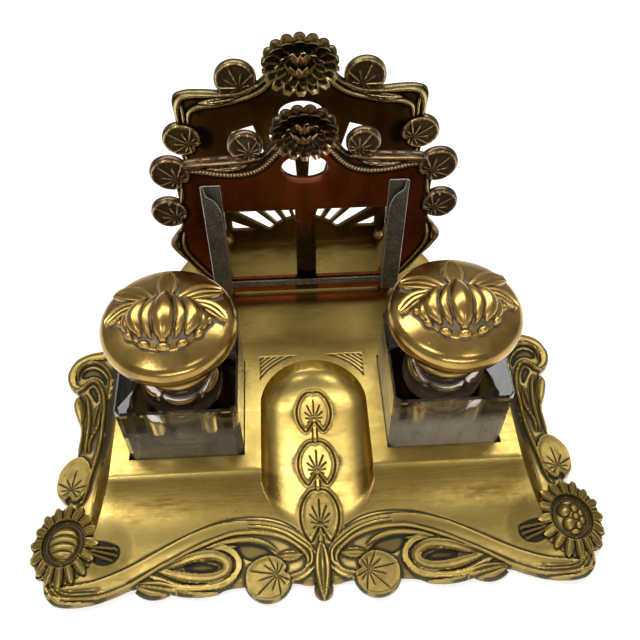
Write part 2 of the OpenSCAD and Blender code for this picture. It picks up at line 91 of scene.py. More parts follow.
# The flat top, its coves and the tray
TOP_FRONT = -51.5
TOP_HALF = 103.0
TOP_BACK = 34.7
FRONT_COVE = 42.0
SIDE_COVE = 12.0
BACK_COVE = 5.0
BORDER_Z = 5.0
COVE_POWER = 2.2
REAR_HALF = 79.0
REAR_EDGE = 110.0
REAR_ROUND = 42.0
TRAY_HALF = 28.0
TRAY_DEEP = 13.0
TRAY_POWER = 2.5
TRAY_SOFT = 1.6
TRAY_END = WELL[1] - 0.3
WELL_HALF = 29.0
WALL = 2.5
STEP = 0.15
RIM_ROUND = 1.7
WELL_LIP, LIP_DROP = 0.35, 0.4
FOOT_RISE, FOOT_INSET = 0.7, 0.5

# Mesh pitches: shares of the fine and the plain one, plain sheets and outlines in millimetres
ROW_PITCH, RIM_CLEAR = 0.866, 0.55
DETAIL_PITCH, LID_PITCH, FLOWER_PITCH, TRAY_PITCH = 0.75, 0.75, 0.5, 0.45
UNDERSIDE_PITCH, CEILING_PITCH, BACK_PITCH, LUG_PITCH = 5.0, 3.0, 4.0, 1.6
OUTLINE_STEP, HOLLOW_STEP = 0.6, 2.5
ROUND_SIDES, LID_SIDES = 96, 144

# Corner flowers: half sizes, place, rings of petals (turn, count, root, tip, width) and their heights
FLOWER_SIZE = (16.6, 21.4)
FLOWER_AT = (CAD_BOUNDS[1][0] / MM - FLOWER_SIZE[0], CAD_BOUNDS[0][1] / MM + 32)
PETAL_RINGS = ((11.25, 16, 0.55, 0.93, 0.96), (0, 16, 0.46, 1.0, 0.96))
PETAL_HEIGHTS = (2.6, 4.7)
TROUGH_Z, BUD_Z, BUD_SINK = 1.9, 2.0, 1.3

# Lobes of the right flower's bud: place, half width, half depth and height
BUD_LOBES = ((-3.4, 3.0, 2.9, 3.4, 2.2), (-2.4, -3.8, 2.8, 3.3, 2.2), (1.9, 4.0, 1.8, 2.3, 1.7),
             (1.7, -0.3, 1.6, 1.7, 1.6), (2.4, -4.9, 1.7, 1.9, 1.7), (4.8, 1.6, 1.5, 2.0, 1.3),
             (4.9, -2.2, 1.5, 1.9, 1.3), (-0.4, 7.4, 2.8, 1.5, 1.3), (0.2, -7.9, 2.5, 1.4, 1.3))

# Rack plates with their rounded edges, and the lugs behind them: place, bolt height and front face
PLATE, PLATE_ROUND = 2.5, 0.55
LUG_HALF, LUG_T, BOLT_R = 3.7, 3.5, 1.5
BOLT_X = 45.5
LUGS = ((BOLT_X, TOP_Z + 8, box_mm("rack_front_plate")[1][1]),
        (BOLT_X, TOP_Z + 6, box_mm("rack_rear_plate")[1][1]))

# Rack flowers: name, plate, slot, radius, squash and height above the flat top
RACK_FLOWERS = (("front_flower", "rack_front_plate", "copper_lacquer", 15.6, (1.02, 0.86, 1), 116.4),
                ("rear_flower", "rack_rear_plate", "rack_brass", 18.6, (1.03, 0.82, 1), 125.6))
FLOWER_SINK = 0.3

# Inkwells
GLASS_TOP = COLLAR_LOW[2]
NECK_R, NECK_WALL, NECK_FILLET = 14.0, 2.5, 0.8
CAVITY_R = 19.0
CAVITY_FLOOR = WELL_FLOOR + 8
CHAMFER = 3.3
EDGE = 1.0

# Lids: the rim is two arcs, the crown a ball that meets the upper one
RIM_UPPER, RIM_LOWER = 6.5, 11.5
LID_T = 1.2
LID_R = (LID_HIGH[0] - LID_LOW[0]) / 2
CROWN_Z = LID_HIGH[2]
RIM_Z = COLLAR_HIGH[2] + RIM_LOWER
CROWN_RISE = CROWN_Z - RIM_Z
CROWN_BALL = ((LID_R - RIM_UPPER) ** 2 + CROWN_RISE**2 - RIM_UPPER**2) / (2 * (CROWN_RISE - RIM_UPPER))
RIM_MEET = (LID_R - RIM_UPPER) * CROWN_BALL / (CROWN_BALL - RIM_UPPER)
PAN_R = LID_R - RIM_LOWER + 2
LILY_REACH = 27.2

# The view: the camera's right, up and back; the floor's own glow
CAMERA_AXES = ((0.99839198, -0.05665118, 0.00202244), (0.04311738, 0.78207341, 0.62169291),
               (-0.03680133, -0.62060602, 0.78325847))
FLOOR_GLOW = 0.45

# Softboxes: name, place, target, size and share of the key light
SOFTBOXES = (("overhead", (-0.06, 0.38, 0.95), (0, 0, 0.03), (1.5, 0.3), 1.0),
             ("front left", (-0.42, -0.42, 0.95), (0, 0, 0.06), (0.34, 0.22), 0.2),
             ("front right", (0.36, -0.5, 0.95), (0, 0, 0.06), (0.2, 0.16), 0.09),
             ("low front", (0.1, -1.0, 0.42), (0, 0, 0.08), (0.8, 0.14), 0.25))


# Plane geometry

def spacing(points):
    """Distances from each point of a path to the next"""
    return np.linalg.norm(np.diff(np.array(points, float), axis=0), axis=1)


def smooth_curve(points, step, closed=False):
    """Points at about equal steps on a smooth curve through the given ones"""
    p = np.array(points, float)
    if closed:
        p = np.vstack([p[-1], p, p[:2]])
    chord = spacing(p)
    slope = np.empty_like(p)
    slope[1:-1] = (p[2:] - p[:-2]) / (chord[:-1] + chord[1:])[:, None]
    slope[0] = (p[1] - p[0]) / chord[0]
    slope[-1] = (p[-1] - p[-2]) / chord[-1]
    out = []
    for i in range(1, len(p) - 2) if closed else range(len(p) - 1):
        n = max(1, int(math.ceil(chord[i] / step)))
        t = np.arange(n)[:, None] / n
        out.append((2 * t**3 - 3 * t**2 + 1) * p[i] + (t**3 - 2 * t**2 + t) * chord[i] * slope[i]
                   + (3 * t**2 - 2 * t**3) * p[i + 1] + (t**3 - t**2) * chord[i] * slope[i + 1])
    if not closed:
        out.append(p[-1:])
    return np.vstack(out)


def smooth_loop(loop, step, corner=math.radians(28)):
    """A closed outline made smooth between its corners"""
    ahead = np.roll(loop, -1, 0) - loop
    behind = loop - np.roll(loop, 1, 0)
    turn = np.abs(np.arctan2(behind[:, 0] * ahead[:, 1] - behind[:, 1] * ahead[:, 0],
                             (behind * ahead).sum(1)))
    corners = np.flatnonzero(turn > corner)
    if not len(corners):
        return smooth_curve(loop, step, closed=True)
    runs = []
    for a, b in zip(corners, np.append(corners[1:], corners[0] + len(loop))):
        run = loop[np.arange(a, b + 1) % len(loop)]
        runs.append(smooth_curve(run, step)[:-1])
    return np.vstack(runs)


def node_loops(node, axis, place):
    """Outlines of a CAD node's flat face at a place on one axis, longest first, as millimetres on the other
    two axes"""
    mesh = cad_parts[node].data
    co = np.empty(len(mesh.vertices) * 3, np.float32)
    mesh.vertices.foreach_get("co", co)
    co = np.round(co.reshape(-1, 3).astype(float) / MM, 3)
    co, index = np.unique(co, axis=0, return_inverse=True)
    mesh.calc_loop_triangles()
    tri = np.empty(len(mesh.loop_triangles) * 3, np.int32)
    mesh.loop_triangles.foreach_get("vertices", tri)
    tri = index.ravel()[tri].reshape(-1, 3)
    tri = tri[(np.abs(co[tri][:, :, axis] - place) < 0.01).all(1)]
    sides = np.vstack([tri[:, [0, 1]], tri[:, [1, 2]], tri[:, [2, 0]]])
    used = set(map(tuple, sides.tolist()))
    follow = {a: b for a, b in used if (b, a) not in used}
    keep = [i for i in range(3) if i != axis]
    loops = []
    while follow:
        start, at = follow.popitem()
        ring = [start]
        while at != start:
            ring.append(at)
            at = follow.pop(at)
        loops.append(co[ring][:, keep])
    return sorted(loops, key=lambda r: -np.linalg.norm(r - np.roll(r, 1, 0), axis=1).sum())


def inside(rims, x, y):
    """Which points lie inside the first rim and outside the others"""
    odd = np.zeros(len(x), bool)
    for rim in rims:
        for (ax, ay), (bx, by) in zip(rim, np.roll(rim, -1, 0)):
            if ay != by:
                crossed = (y >= min(ay, by)) & (y < max(ay, by))
                odd[crossed] ^= x[crossed] < ax + (y[crossed] - ay) * (bx - ax) / (by - ay)
    return odd


def tree_of(lines):
    points = np.vstack(lines)
    tree = KDTree(len(points))
    for i, p in enumerate(points):
        tree.insert((p[0], p[1], 0), i)
    tree.balance()
    return tree


def distance_to(lines, points):
    tree = tree_of(lines)
    return np.array([tree.find((x, y, 0))[2] for x, y in points])


def fill(rims, zones, creases=()):
    """Points, triangles and the rims' point numbers of a flat sheet: an outline and its holes are filled at
    the pitch of each zone, with edges along the creases"""
    points, edges, starts = [], [], []
    for k, line in enumerate([*rims, *creases]):
        n, start = len(line), len(points)
        starts.append(start)
        points += [Vector(p) for p in line]
        edges += [(start + i, start + i + 1) for i in range(n - 1)]
        if k < len(rims):
            edges.append((start + n - 1, start))
    tree = tree_of([*rims, *creases])
    low, high = rims[0].min(0), rims[0].max(0)
    for pitch, where in zones:
        x, y = np.meshgrid(np.arange(low[0], high[0], pitch), np.arange(low[1], high[1], pitch * ROW_PITCH))
        x[1::2] += pitch / 2
        x, y = x.ravel(), y.ravel()
        chosen = where(x, y)
        x, y = x[chosen], y[chosen]
        chosen = inside(rims, x, y)
        for q in zip(x[chosen], y[chosen]):
            if tree.find((*q, 0))[2] > RIM_CLEAR * pitch:
                points.append(Vector(q))
    flat, _, faces, origins, _, _ = delaunay_2d_cdt(points, edges, [], 0, 1e-5)
    co = np.array([p[:] for p in flat])
    tri = np.array([f for f in faces if len(f) == 3])
    middle = co[tri].mean(1)
    tri = tri[inside(rims, middle[:, 0], middle[:, 1])]
    a, b, c = co[tri].transpose(1, 0, 2)
    turned = (b[:, 0] - a[:, 0]) * (c[:, 1] - a[:, 1]) < (b[:, 1] - a[:, 1]) * (c[:, 0] - a[:, 0])
    tri[turned] = tri[turned][:, ::-1]
    place = {}
    for i, sources in enumerate(origins):
        for s in sources:
            place[s] = i
    rings = [np.array([place[starts[k] + i] for i in range(len(r))]) for k, r in enumerate(rims)]
    return co, tri, rings


def all_over(pitch):
    """The zones of a sheet that has one pitch"""
    return [(pitch, lambda x, y: x < np.inf)]


def circle(radius, sides):
    turn = np.arange(sides) * 2 * math.pi / sides
    return np.stack([radius * np.cos(turn), radius * np.sin(turn)], 1)


def level(plan, z):
    """Plan points at a height"""
    return np.column_stack([plan, np.full(len(plan), z)])


def upright(face, y):
    """Points of an upright face, given as width and height, at a depth"""
    return np.column_stack([face[:, 0], y + np.zeros(len(face)), face[:, 1]])


def rounded(off, radius):
    """How far a round edge falls at a distance from the outline"""
    edge = np.clip(off / radius, 0, 1)
    return radius * (1 - np.sqrt(1 - (1 - edge) ** 2))


# Relief: heights painted in millimetres, stroke by stroke

def soft_step(t):
    t = np.clip(t, 0, 1)
    return t * t * (3 - 2 * t)


class Relief:
    """Heights above the ground at many points at once; each stroke keeps what is higher"""

    def __init__(self, x, y):
        self.x, self.y = x, y
        self.h = np.zeros(len(x))
        self.mark = np.zeros(len(x))

    def near(self, low, high):
        across = (self.x > low[0]) & (self.x < high[0])
        return np.flatnonzero(across & (self.y > low[1]) & (self.y < high[1]))

    def along(self, points, reach):
        """Points within reach of a path: their numbers, signed distances and shares of its length"""
        path = smooth_curve(points, 1.2)
        k = self.near(path.min(0) - reach, path.max(0) + reach)
        away, share = np.empty(len(k)), np.empty(len(k))
        a, d = path[:-1], np.diff(path, axis=0)
        length = spacing(path)
        run = np.concatenate([[0], np.cumsum(length)])
        for part in np.array_split(np.arange(len(k)), max(1, len(k) // 8000)):
            p = np.stack([self.x[k[part]], self.y[k[part]]], 1)[:, None]
            t = np.clip(((p - a) * d).sum(2) / length**2, 0, 1)
            off = p - (a + t[..., None] * d)
            j = (off**2).sum(2).argmin(1)
            row = np.arange(len(part))
            near = off[row, j]
            side = np.sign(d[j, 0] * near[:, 1] - d[j, 1] * near[:, 0])
            away[part] = side * np.linalg.norm(near, axis=1)
            share[part] = (run[j] + t[row, j] * length[j]) / run[-1]
        close = np.abs(away) < reach
        return k[close], away[close], share[close]

    def keep(self, k, h):
        self.h[k] = np.maximum(self.h[k], h)

    def stem(self, points, width, height, taper=(0.25, 0.25), rims=0.0, ribs=0.0):
        """A raised stem; with rims it is a ribbon with raised edges, with ribs it is ribbed at that pitch"""
        k, away, share = self.along(points, width / 2)
        if ribs:
            turns = round(spacing(points).sum() / ribs)
            height = height * (0.82 + 0.18 * np.cos(2 * math.pi * turns * share))
        thin = np.minimum(1, np.minimum(share / max(taper[0], 1e-6), (1 - share) / max(taper[1], 1e-6)))
        thin = np.sqrt(np.maximum(thin, 1e-4))
        u = np.minimum(np.abs(away) / (width / 2 * thin), 1)
        domed = 0.7 * np.sqrt(1 - u**2) + 0.3 * (1 - u)
        ribbon = soft_step((1 - u) / 0.22) * (0.62 + 0.38 * np.exp(-(((u - 0.74) / 0.16) ** 2)))
        self.keep(k, height * thin**0.7 * (domed * (1 - rims) + ribbon * rims))

    def band(self, points, widths, height, bead):
        """A broad flat band of changing width with a rolled bead along its left-hand edge"""
        k, away, share = self.along(points, max(widths) / 2 + 0.6)
        run = np.concatenate([[0], np.cumsum(spacing(points))])
        half = np.interp(share, run / run[-1], widths) / 2
        form = soft_step((half - np.abs(away)) / 0.55) * (0.72 + 0.28 * (away / half) ** 2)
        form += bead * np.exp(-(((away - half + 1.3) / 0.75) ** 2)) * soft_step((half - away) / 0.5)
        self.keep(k, height * form)

    def bud(self, a, b, width, height, folds=2):
        """A pointed bud from a to b with folds along it"""
        a, b = np.array(a, float), np.array(b, float)
        k, away, share = self.along([a, (a + b) / 2, b], width / 2)
        half = width / 2 * np.sin(math.pi * share**0.85) ** 0.75 + 1e-3
        u = np.clip(away / half, -1, 1)
        form = np.sqrt(1 - u**2) * (1 - 0.16 * (1 - np.cos(u * math.pi * folds)))
        self.keep(k, height * form * np.sin(math.pi * share) ** 0.35)

    def pad(self, centre, radii, stalk, height, raised=False, rays=9):
        """A lily pad: a thin rim, a shallow dish, a notch at the stalk (an angle in degrees) and a star of
        veins that meet towards it, sunk or raised"""
        reach = max(radii) * 1.02
        k = self.near(np.array(centre) - reach, np.array(centre) + reach)
        s, c = math.sin(math.radians(stalk)), math.cos(math.radians(stalk))
        dx, dy = self.x[k] - centre[0], self.y[k] - centre[1]
        along, across = dx * c + dy * s, dy * c - dx * s
        turn = np.arctan2(across, along)
        rho = np.hypot(along / radii[1], across / radii[0])
        rho /= 1 - 0.24 * np.exp(-((turn / 0.16) ** 2)) + 0.015 * np.sin(turn * 5 + centre[0])
        form = 1 - 0.22 * soft_step((0.98 - rho) / 0.3) + 0.12 * soft_step((0.5 - rho) / 0.5)
        form += 0.1 * np.exp(-(((rho - 0.94) / 0.035) ** 2))
        va, vc = 0.42 * radii[1] - along, across
        far, bearing = np.hypot(va, vc), np.arctan2(vc, va)
        star = 0 * far
        for i in range(rays):
            a = (i - (rays - 1) / 2) * 4.7 / (rays - 1)
            length = min(radii) * (0.85 + 0.55 * math.cos(a * 0.8)) * (1 if i % 2 == 0 else 0.66)
            off, ahead = far * np.abs(np.sin(bearing - a)), far * np.cos(bearing - a)
            fade = (ahead > 0) * soft_step((1 - ahead / length) / 0.3)
            star = np.maximum(star, fade * np.exp(-((off / (0.42 if raised else 0.27)) ** 2)))
        form += star * (0.3 if raised else -0.19)
        form *= soft_step((1 - rho) / 0.1)
        self.keep(k, height * form)
        if not raised:
            self.mark[k] = np.maximum(self.mark[k], 0.2 * soft_step((0.92 - rho) / 0.05))

    def groove(self, points, width, depth):
        k, away, share = self.along(points, width * 1.6)
        ends = soft_step(share / 0.04) * soft_step((1 - share) / 0.04)
        self.h[k] -= depth * np.exp(-((away / (width / 2)) ** 2)) * ends

    def ground_cut(self, outline, depth, edge=0.8):
        """A hatched field sunk into the ground"""
        rim = smooth_curve(outline, 0.8, closed=True)
        k = self.near(rim.min(0), rim.max(0))
        k = k[inside([rim], self.x[k], self.y[k])]
        off = distance_to([rim], np.stack([self.x[k], self.y[k]], 1))
        step = soft_step(off / edge)
        free = self.h[k] < 0.25
        self.h[k] = np.where(free, -depth * step, self.h[k])
        self.mark[k] = np.where(free, step, 0)


# Meshes

class Surface:
    """Vertices in millimetres and faces, gathered part by part into one mesh"""

    def __init__(self):
        self.points, self.faces, self.recess, self.mark, self.count = [], [], [], [], 0

    def add(self, points, faces=(), recess=None, mark=None):
        start = self.count
        points = np.asarray(points, float)
        self.points.append(points)
        self.recess.append(np.zeros(len(points)) if recess is None else recess)
        self.mark.append(np.zeros(len(points)) if mark is None else mark)
        self.count += len(points)
        self.faces += [tuple(int(i) + start for i in f) for f in faces]
        return np.arange(start, self.count)

    def cap(self, ring):
        """One flat face inside a ring"""
        self.faces.append(tuple(int(i) for i in ring))

    def shift(self, offset):
        self.points = [points + offset for points in self.points]
        return self

    def bridge(self, a, b, closed=True):
        n = len(a)
        for i in range(n if closed else n - 1):
            j = (i + 1) % n
            self.faces.append((int(a[i]), int(a[j]), int(b[j]), int(b[i])))

    def fan(self, ring, point):
        top = int(self.add([point])[0])
        for i in range(len(ring)):
            self.faces.append((int(ring[i]), int(ring[(i + 1) % len(ring)]), top))

    def object(self, name, sharp):
        """The welded mesh with its attributes; edges sharper than the angle stay sharp"""
        points = np.vstack(self.points) * MM
        mesh = bpy.data.meshes.new(name)
        mesh.from_pydata(points.tolist(), [], self.faces)
        for label, values in (("recess", self.recess), ("mark", self.mark)):
            attribute = mesh.attributes.new(label, "FLOAT", "POINT")
            attribute.data.foreach_set("value", np.concatenate(values).astype(np.float32))
        work = bmesh.new()
        work.from_mesh(mesh)
        bmesh.ops.remove_doubles(work, verts=work.verts, dist=2e-6)
        bmesh.ops.dissolve_degenerate(work, edges=work.edges, dist=1e-7)
        bmesh.ops.recalc_face_normals(work, faces=work.faces)
        work.to_mesh(mesh)
        work.free()
        mesh.shade_smooth()
        mesh.set_sharp_from_angle(angle=math.radians(sharp))
        return new_object(name, mesh)


def new_object(name, data):
    item = bpy.data.objects.new(name, data)
    bpy.context.scene.collection.objects.link(item)
    return item


def hollows(tri, height, rounds):
    """How far each point lies under the smoothed height round it: positive in hollows, negative on crests"""
    edges = np.unique(np.sort(np.vstack([tri[:, [0, 1]], tri[:, [1, 2]], tri[:, [2, 0]]]), axis=1), axis=0)
    a, b = edges.T
    n = len(height)
    count = np.maximum(np.bincount(edges.ravel(), minlength=n), 1)
    mean = height.copy()
    for _ in range(rounds):
        mean = (np.bincount(a, mean[b], n) + np.bincount(b, mean[a], n)) / count
    return mean - height


def creased(tri, height):
    """Hollows at two scales together: sharp in the creases, softer in the broad hollows"""
    return hollows(tri, height, 3) * 1.5 + hollows(tri, height, 14) * 0.5


def lathe(surface, profile, last):
    """Goes on from a ring with rings of a profile of (radius, height) points round the Z axis, and closes the
    end at its last point"""
    for r, z in profile[:-1]:
        ring = surface.add(level(circle(r, len(last)), z))
        surface.bridge(last, ring)
        last = ring
    surface.fan(last, (0, 0, profile[-1][1]))


def arc(cx, cz, radius, start, end, steps):
    a = np.radians(np.linspace(start, end, steps + 1))
    return np.stack([cx + radius * np.cos(a), cz + radius * np.sin(a)], 1)


def finish_piece(item, body, slot_name, material, *replaced):
    item.data.materials.clear()
    item.data.materials.append(material)
    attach(item, body)
    if replaced:
        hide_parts(*replaced)


# Shader maths: sockets that take part in expressions

def plug(tree, value, slot):
    if isinstance(value, Wire):
        tree.links.new(value.socket, slot)
    else:
        slot.default_value = value


class Wire:
    """A shader socket; arithmetic on it adds Math nodes"""

    def __init__(self, tree, socket):
        self.tree, self.socket = tree, socket

    def math(self, operation, *values):
        node = self.tree.nodes.new("ShaderNodeMath")
        node.operation = operation
        for slot, value in zip(node.inputs, values):
            plug(self.tree, value, slot)
        return Wire(self.tree, node.outputs[0])

    def __add__(self, other):
        return self.math("ADD", self, other)

    def __radd__(self, other):
        return self.math("ADD", other, self)

    def __sub__(self, other):
        return self.math("SUBTRACT", self, other)

    def __rsub__(self, other):
        return self.math("SUBTRACT", other, self)

    def __mul__(self, other):
        return self.math("MULTIPLY", self, other)

    def __rmul__(self, other):
        return self.math("MULTIPLY", other, self)

    def __truediv__(self, other):
        return self.math("DIVIDE", self, other)

    def __gt__(self, other):
        return self.math("GREATER_THAN", self, other)

    def __lt__(self, other):
        return self.math("LESS_THAN", self, other)

    def __abs__(self):
        return self.math("ABSOLUTE", self)

    def __neg__(self):
        return self * -1.0

    def higher(self, other):
        return self.math("MAXIMUM", self, other)

    def clamp(self):
        wire = self.math("ADD", self, 0.0)
        wire.socket.node.use_clamp = True
        return wire

    def wave(self):
        return self.math("SINE", self)


class Finish:
    """A material in the making, in millimetres on Object coordinates"""

    def __init__(self, name, **fixed):
        self.material = bpy.data.materials.new(name)
        self.material.use_nodes = True
        self.tree = self.material.node_tree
        self.shader = self.tree.nodes["Principled BSDF"]
        for label, value in fixed.items():
            self.shader.inputs[label.replace("_", " ")].default_value = value
        place = self.tree.nodes.new("ShaderNodeTexCoord")
        self.mm = self.node("ShaderNodeVectorMath", "Vector", {"operation": "SCALE"},
                            {"Vector": Wire(self.tree, place.outputs["Object"]), "Scale": 1 / MM})

    def node(self, kind, output, settings, values):
        node = self.tree.nodes.new(kind)
        for key, value in settings.items():
            setattr(node, key, value)
        for key, value in values.items():
            plug(self.tree, value, node.inputs[key])
        return Wire(self.tree, node.outputs[output])

    def noise(self, size, detail=3.0, stretch=(1, 1, 1), rough=0.55):
        """Noise whose features are about size millimetres, 0 to 1"""
        where = self.node("ShaderNodeMapping", "Vector", {}, {"Vector": self.mm, "Scale": stretch})
        return self.node("ShaderNodeTexNoise", "Fac", {}, {"Vector": where, "Scale": 1 / size,
                                                           "Detail": detail, "Roughness": rough})

    def axis(self, letter):
        return self.node("ShaderNodeSeparateXYZ", letter, {}, {"Vector": self.mm})

    def attribute(self, name):
        return self.node("ShaderNodeAttribute", "Fac", {"attribute_name": name}, {})

    def spread(self, wire, low, high):
        """Stretches low..high of a wire to 0..1"""
        return self.node("ShaderNodeMapRange", "Result", {"interpolation_type": "SMOOTHSTEP"},
                         {"Value": wire, "From Min": low, "From Max": high})

    def mix(self, share, a, b):
        """Colour a goes to colour b as share goes from 0 to 1"""
        node = self.tree.nodes.new("ShaderNodeMix")
        node.data_type = "RGBA"
        for index, value in ((0, share), (6, a), (7, b)):
            if not isinstance(value, Wire) and index > 0:
                value = (*value[:3], 1)
            plug(self.tree, value, node.inputs[index])
        return Wire(self.tree, node.outputs[2])

    def bump(self, height, depth, below=None):
        """A bump depth millimetres high, on top of the one below"""
        values = {"Height": height, "Distance": depth * MM, "Strength": 1.0}
        if below is not None:
            values["Normal"] = below
        return self.node("ShaderNodeBump", "Normal", {}, values)

    def out(self, **wires):
        for key, wire in wires.items():
            plug(self.tree, wire, self.shader.inputs[key.replace("_", " ")])
        return self.material


def colour(code):
    """Linear colour of a hex code"""
    parts = [int(code[i:i + 2], 16) / 255 for i in (1, 3, 5)]
    return tuple(c / 12.92 if c <= 0.04045 else ((c + 0.055) / 1.055) ** 2.4 for c in parts)


def scaled(tint, share):
    return [min(1, c * share) for c in tint]


def brass_finish(name, light, dark, patina, shine, brushed, tarnish, crest, slope_shade_and_border=0.0):
    """Old brass: cloudy tone, brushed grain, patina in the hollows, crests lighter as rub and as painted
    highlight, painted shade in brown streaks on the slopes below the flat top, and a darker outer border"""
    f = Finish(name, Metallic=1.0)
    cloud = f.spread(f.noise(38, 4), 0.32, 0.68)
    mottle = f.noise(3.2, 5)
    grain = f.noise(1.6, 3, brushed)
    fine = f.noise(0.5, 2)
    recess = f.attribute("recess")
    hollow = (f.spread(recess, 0.02, 0.34) + f.spread(recess, 0.0, 0.1) * 0.4 * mottle).clamp()
    rub = f.spread(-recess, 0.02, 0.4)
    spots = f.spread(f.noise(6.5, 6, rough=0.7), 0.7, 0.78)
    streak = f.spread(f.noise(4.5, 5, brushed, 0.7), 0.5, 0.72)
    tone = f.mix((cloud * 0.6 + mottle * 0.3 - 0.05).clamp(), light, dark)
    tone = f.mix((streak * 0.45 * tarnish).clamp(), tone, dark)
    across = abs(f.axis("X"))
    high = f.axis("Z")
    # Painted shade: the upper parts of the coves below the flat top turn brown and streaked, standing in for
    # their dark reflection
    slope = f.spread(high, TOP_Z - 0.3, TOP_Z - 2.5) * f.spread(high, BORDER_Z + 1, BORDER_Z + 7)
    slope = slope * f.spread(across, TOP_HALF + 4, TOP_HALF - 4)
    slope = slope * f.spread(f.axis("Y"), TOP_FRONT + 3, TOP_FRONT)
    slope = slope * (f.noise(0.8, 3, (0.05, 1, 1)) * 0.7 + streak * 0.15 + 0.25) * slope_shade_and_border
    tone = f.mix(slope.clamp(), tone, [dark[0] * 0.6, dark[1] * 0.5, dark[2] * 0.38])
    border = f.spread(across, 106, 120)
    border = border.higher(f.spread(f.axis("Y"), -76, -92)) * slope_shade_and_border
    tone = f.mix((border * (0.4 + mottle * 0.5)).clamp(), tone, [dark[0] * 0.78, dark[1] * 0.8,
                                                                 dark[2] * 0.95])
    tone = f.mix((spots * 0.45 * tarnish).clamp(), tone, patina)
    # Crests lighter: partly rubbed wear, partly painted highlight on the relief and along the flat top's edge
    tone = f.mix((rub * crest).clamp(), tone, scaled(light, 1.15))
    hatch = f.attribute("mark")
    lines = ((f.axis("X") + f.axis("Y")) * 6.6).wave() * ((f.axis("X") - f.axis("Y")) * 6.6).wave()
    engraved = (f.spread(lines, -0.1, 0.5) * hatch).clamp()
    # Patina in the hollows and engraving, which also carries the painted shade that the ground's bends give
    # the upper coves
    patina_and_painted_shade = (hollow * 0.85 + engraved * 0.4 + hatch * 0.25).clamp()
    tone = f.mix(patina_and_painted_shade, tone, patina)
    rough = shine + mottle * 0.16 + cloud * 0.06 + streak * 0.1 + patina_and_painted_shade * 0.34 + spots * 0.12
    rough = (rough + rub * 0.08 + border * 0.05).clamp()
    normal = f.bump(fine * 0.5 + grain, 0.012)
    normal = f.bump(mottle, 0.05, normal)
    normal = f.bump(-engraved, 0.22, normal)
    return f.out(Base_Color=tone, Roughness=rough, Normal=normal)


# Base casting

def cove(away, reach):
    """Height of the hollow slope at a distance from the flat top's edge"""
    return BORDER_Z + (TOP_Z - BORDER_Z) * np.clip(1 - np.maximum(away, 0) / reach, 0, 1) ** COVE_POWER


def rear_inset(x, y):
    """Distance inside the edge of the rear block, whose back corners are round"""
    dx, dy = x - (REAR_HALF - REAR_ROUND), y - (REAR_EDGE - REAR_ROUND)
    corner = REAR_ROUND - np.hypot(np.maximum(dx, 0), np.maximum(dy, 0))
    return np.where(y > WELL[1], corner, -1.0)


def scoop(x, y, grown=0.0):
    """Height of the tray's surface, or of its shell's outside where it is grown"""
    half, deep = TRAY_HALF + grown, TRAY_DEEP + grown
    r = np.hypot(x, np.maximum(y - TRAY_END, 0))
    t = np.clip(r / half, 0, 1)
    return np.where(r < half, TOP_Z - deep * (1 - t**TRAY_POWER) ** (1 / TRAY_POWER), TOP_Z)


def coves(x, y, inset=0.0):
    """Height of the flat top and the coves round it, drawn in by the inset"""
    sides = np.minimum(cove(TOP_FRONT + inset - y, FRONT_COVE), cove(x - TOP_HALF + inset, SIDE_COVE))
    return np.minimum(sides, cove(y - TOP_BACK + inset, BACK_COVE))


def ground(x, y):
    """Height of the casting without its relief"""
    x = np.abs(x)
    z = coves(x, y)
    inset = rear_inset(x, y)
    edge = np.clip(inset - STEP, 0, 1)
    z = np.maximum(z, np.where(inset > STEP - 1e-6, TOP_Z - 1 + np.sqrt(1 - (1 - edge) ** 2), 0))
    hollow = scoop(x, y)
    share = np.clip(0.5 + (hollow - z) / (2 * TRAY_SOFT), 0, 1)
    return z * share + hollow * (1 - share) - TRAY_SOFT * share * (1 - share)


def ceiling(x, y):
    """Height of the hollow underside"""
    x = np.abs(x)
    z = np.where(rear_inset(x, y) > WALL, TOP_Z, coves(x, y, WALL)) - WALL
    z = np.minimum(z, np.where(scoop(x, y, WALL) < TOP_Z, scoop(x, y, WALL), TOP_Z))
    in_well = (np.abs(x - WELL[0]) < WELL_HALF + WALL) & (np.abs(y - WELL[1]) < WELL_HALF + WALL)
    return np.where(in_well, WELL_FLOOR - WALL, z)


def both_sides(lines):
    return [np.array(line, float) * (s, 1) for line in lines for s in (1, -1)]


def base_creases():
    """Lines where the casting's surface turns sharply"""
    hip = (TOP_HALF, TOP_FRONT), (TOP_HALF + SIDE_COVE, TOP_FRONT - FRONT_COVE)
    back_hip = (TOP_HALF, TOP_BACK), (TOP_HALF + SIDE_COVE, TOP_BACK + BACK_COVE)
    lines = [smooth_curve(hip, 1.0), smooth_curve(back_hip, 1.0),
             smooth_curve([(TRAY_HALF + 0.4, TOP_FRONT), (TOP_HALF - 0.4, TOP_FRONT)], 1.2),
             smooth_curve([(TOP_HALF, TOP_FRONT + 0.8), (TOP_HALF, TOP_BACK - 0.8)], 1.2),
             smooth_curve([(TRAY_HALF, TOP_FRONT + 0.8), (TRAY_HALF, TRAY_END - 0.8)], 0.8)]
    lines.append(np.array(tray_mouth()))
    lines = both_sides(lines)
    turn = np.radians(np.linspace(0, 180, 121))
    lines.append(np.stack([TRAY_HALF * np.cos(turn), TRAY_END + TRAY_HALF * np.sin(turn)], 1))
    for away in (-STEP, STEP, 0.5, 1 + STEP):
        r, edge = REAR_ROUND - away, REAR_HALF - away
        turn = np.radians(np.linspace(0, 90, 61))
        corner = np.stack([edge - r + r * np.cos(turn), REAR_EDGE - away - r + r * np.sin(turn)], 1)
        side = smooth_curve([(edge, TOP_BACK + BACK_COVE + 0.3), (edge, corner[0, 1] - 0.9)], 1.0)
        lines += both_sides([np.vstack([side, corner])])
        lines.append(smooth_curve([(-(edge - r) + 1, REAR_EDGE - away), (edge - r - 1, REAR_EDGE - away)],
                                  1.0))
    return lines


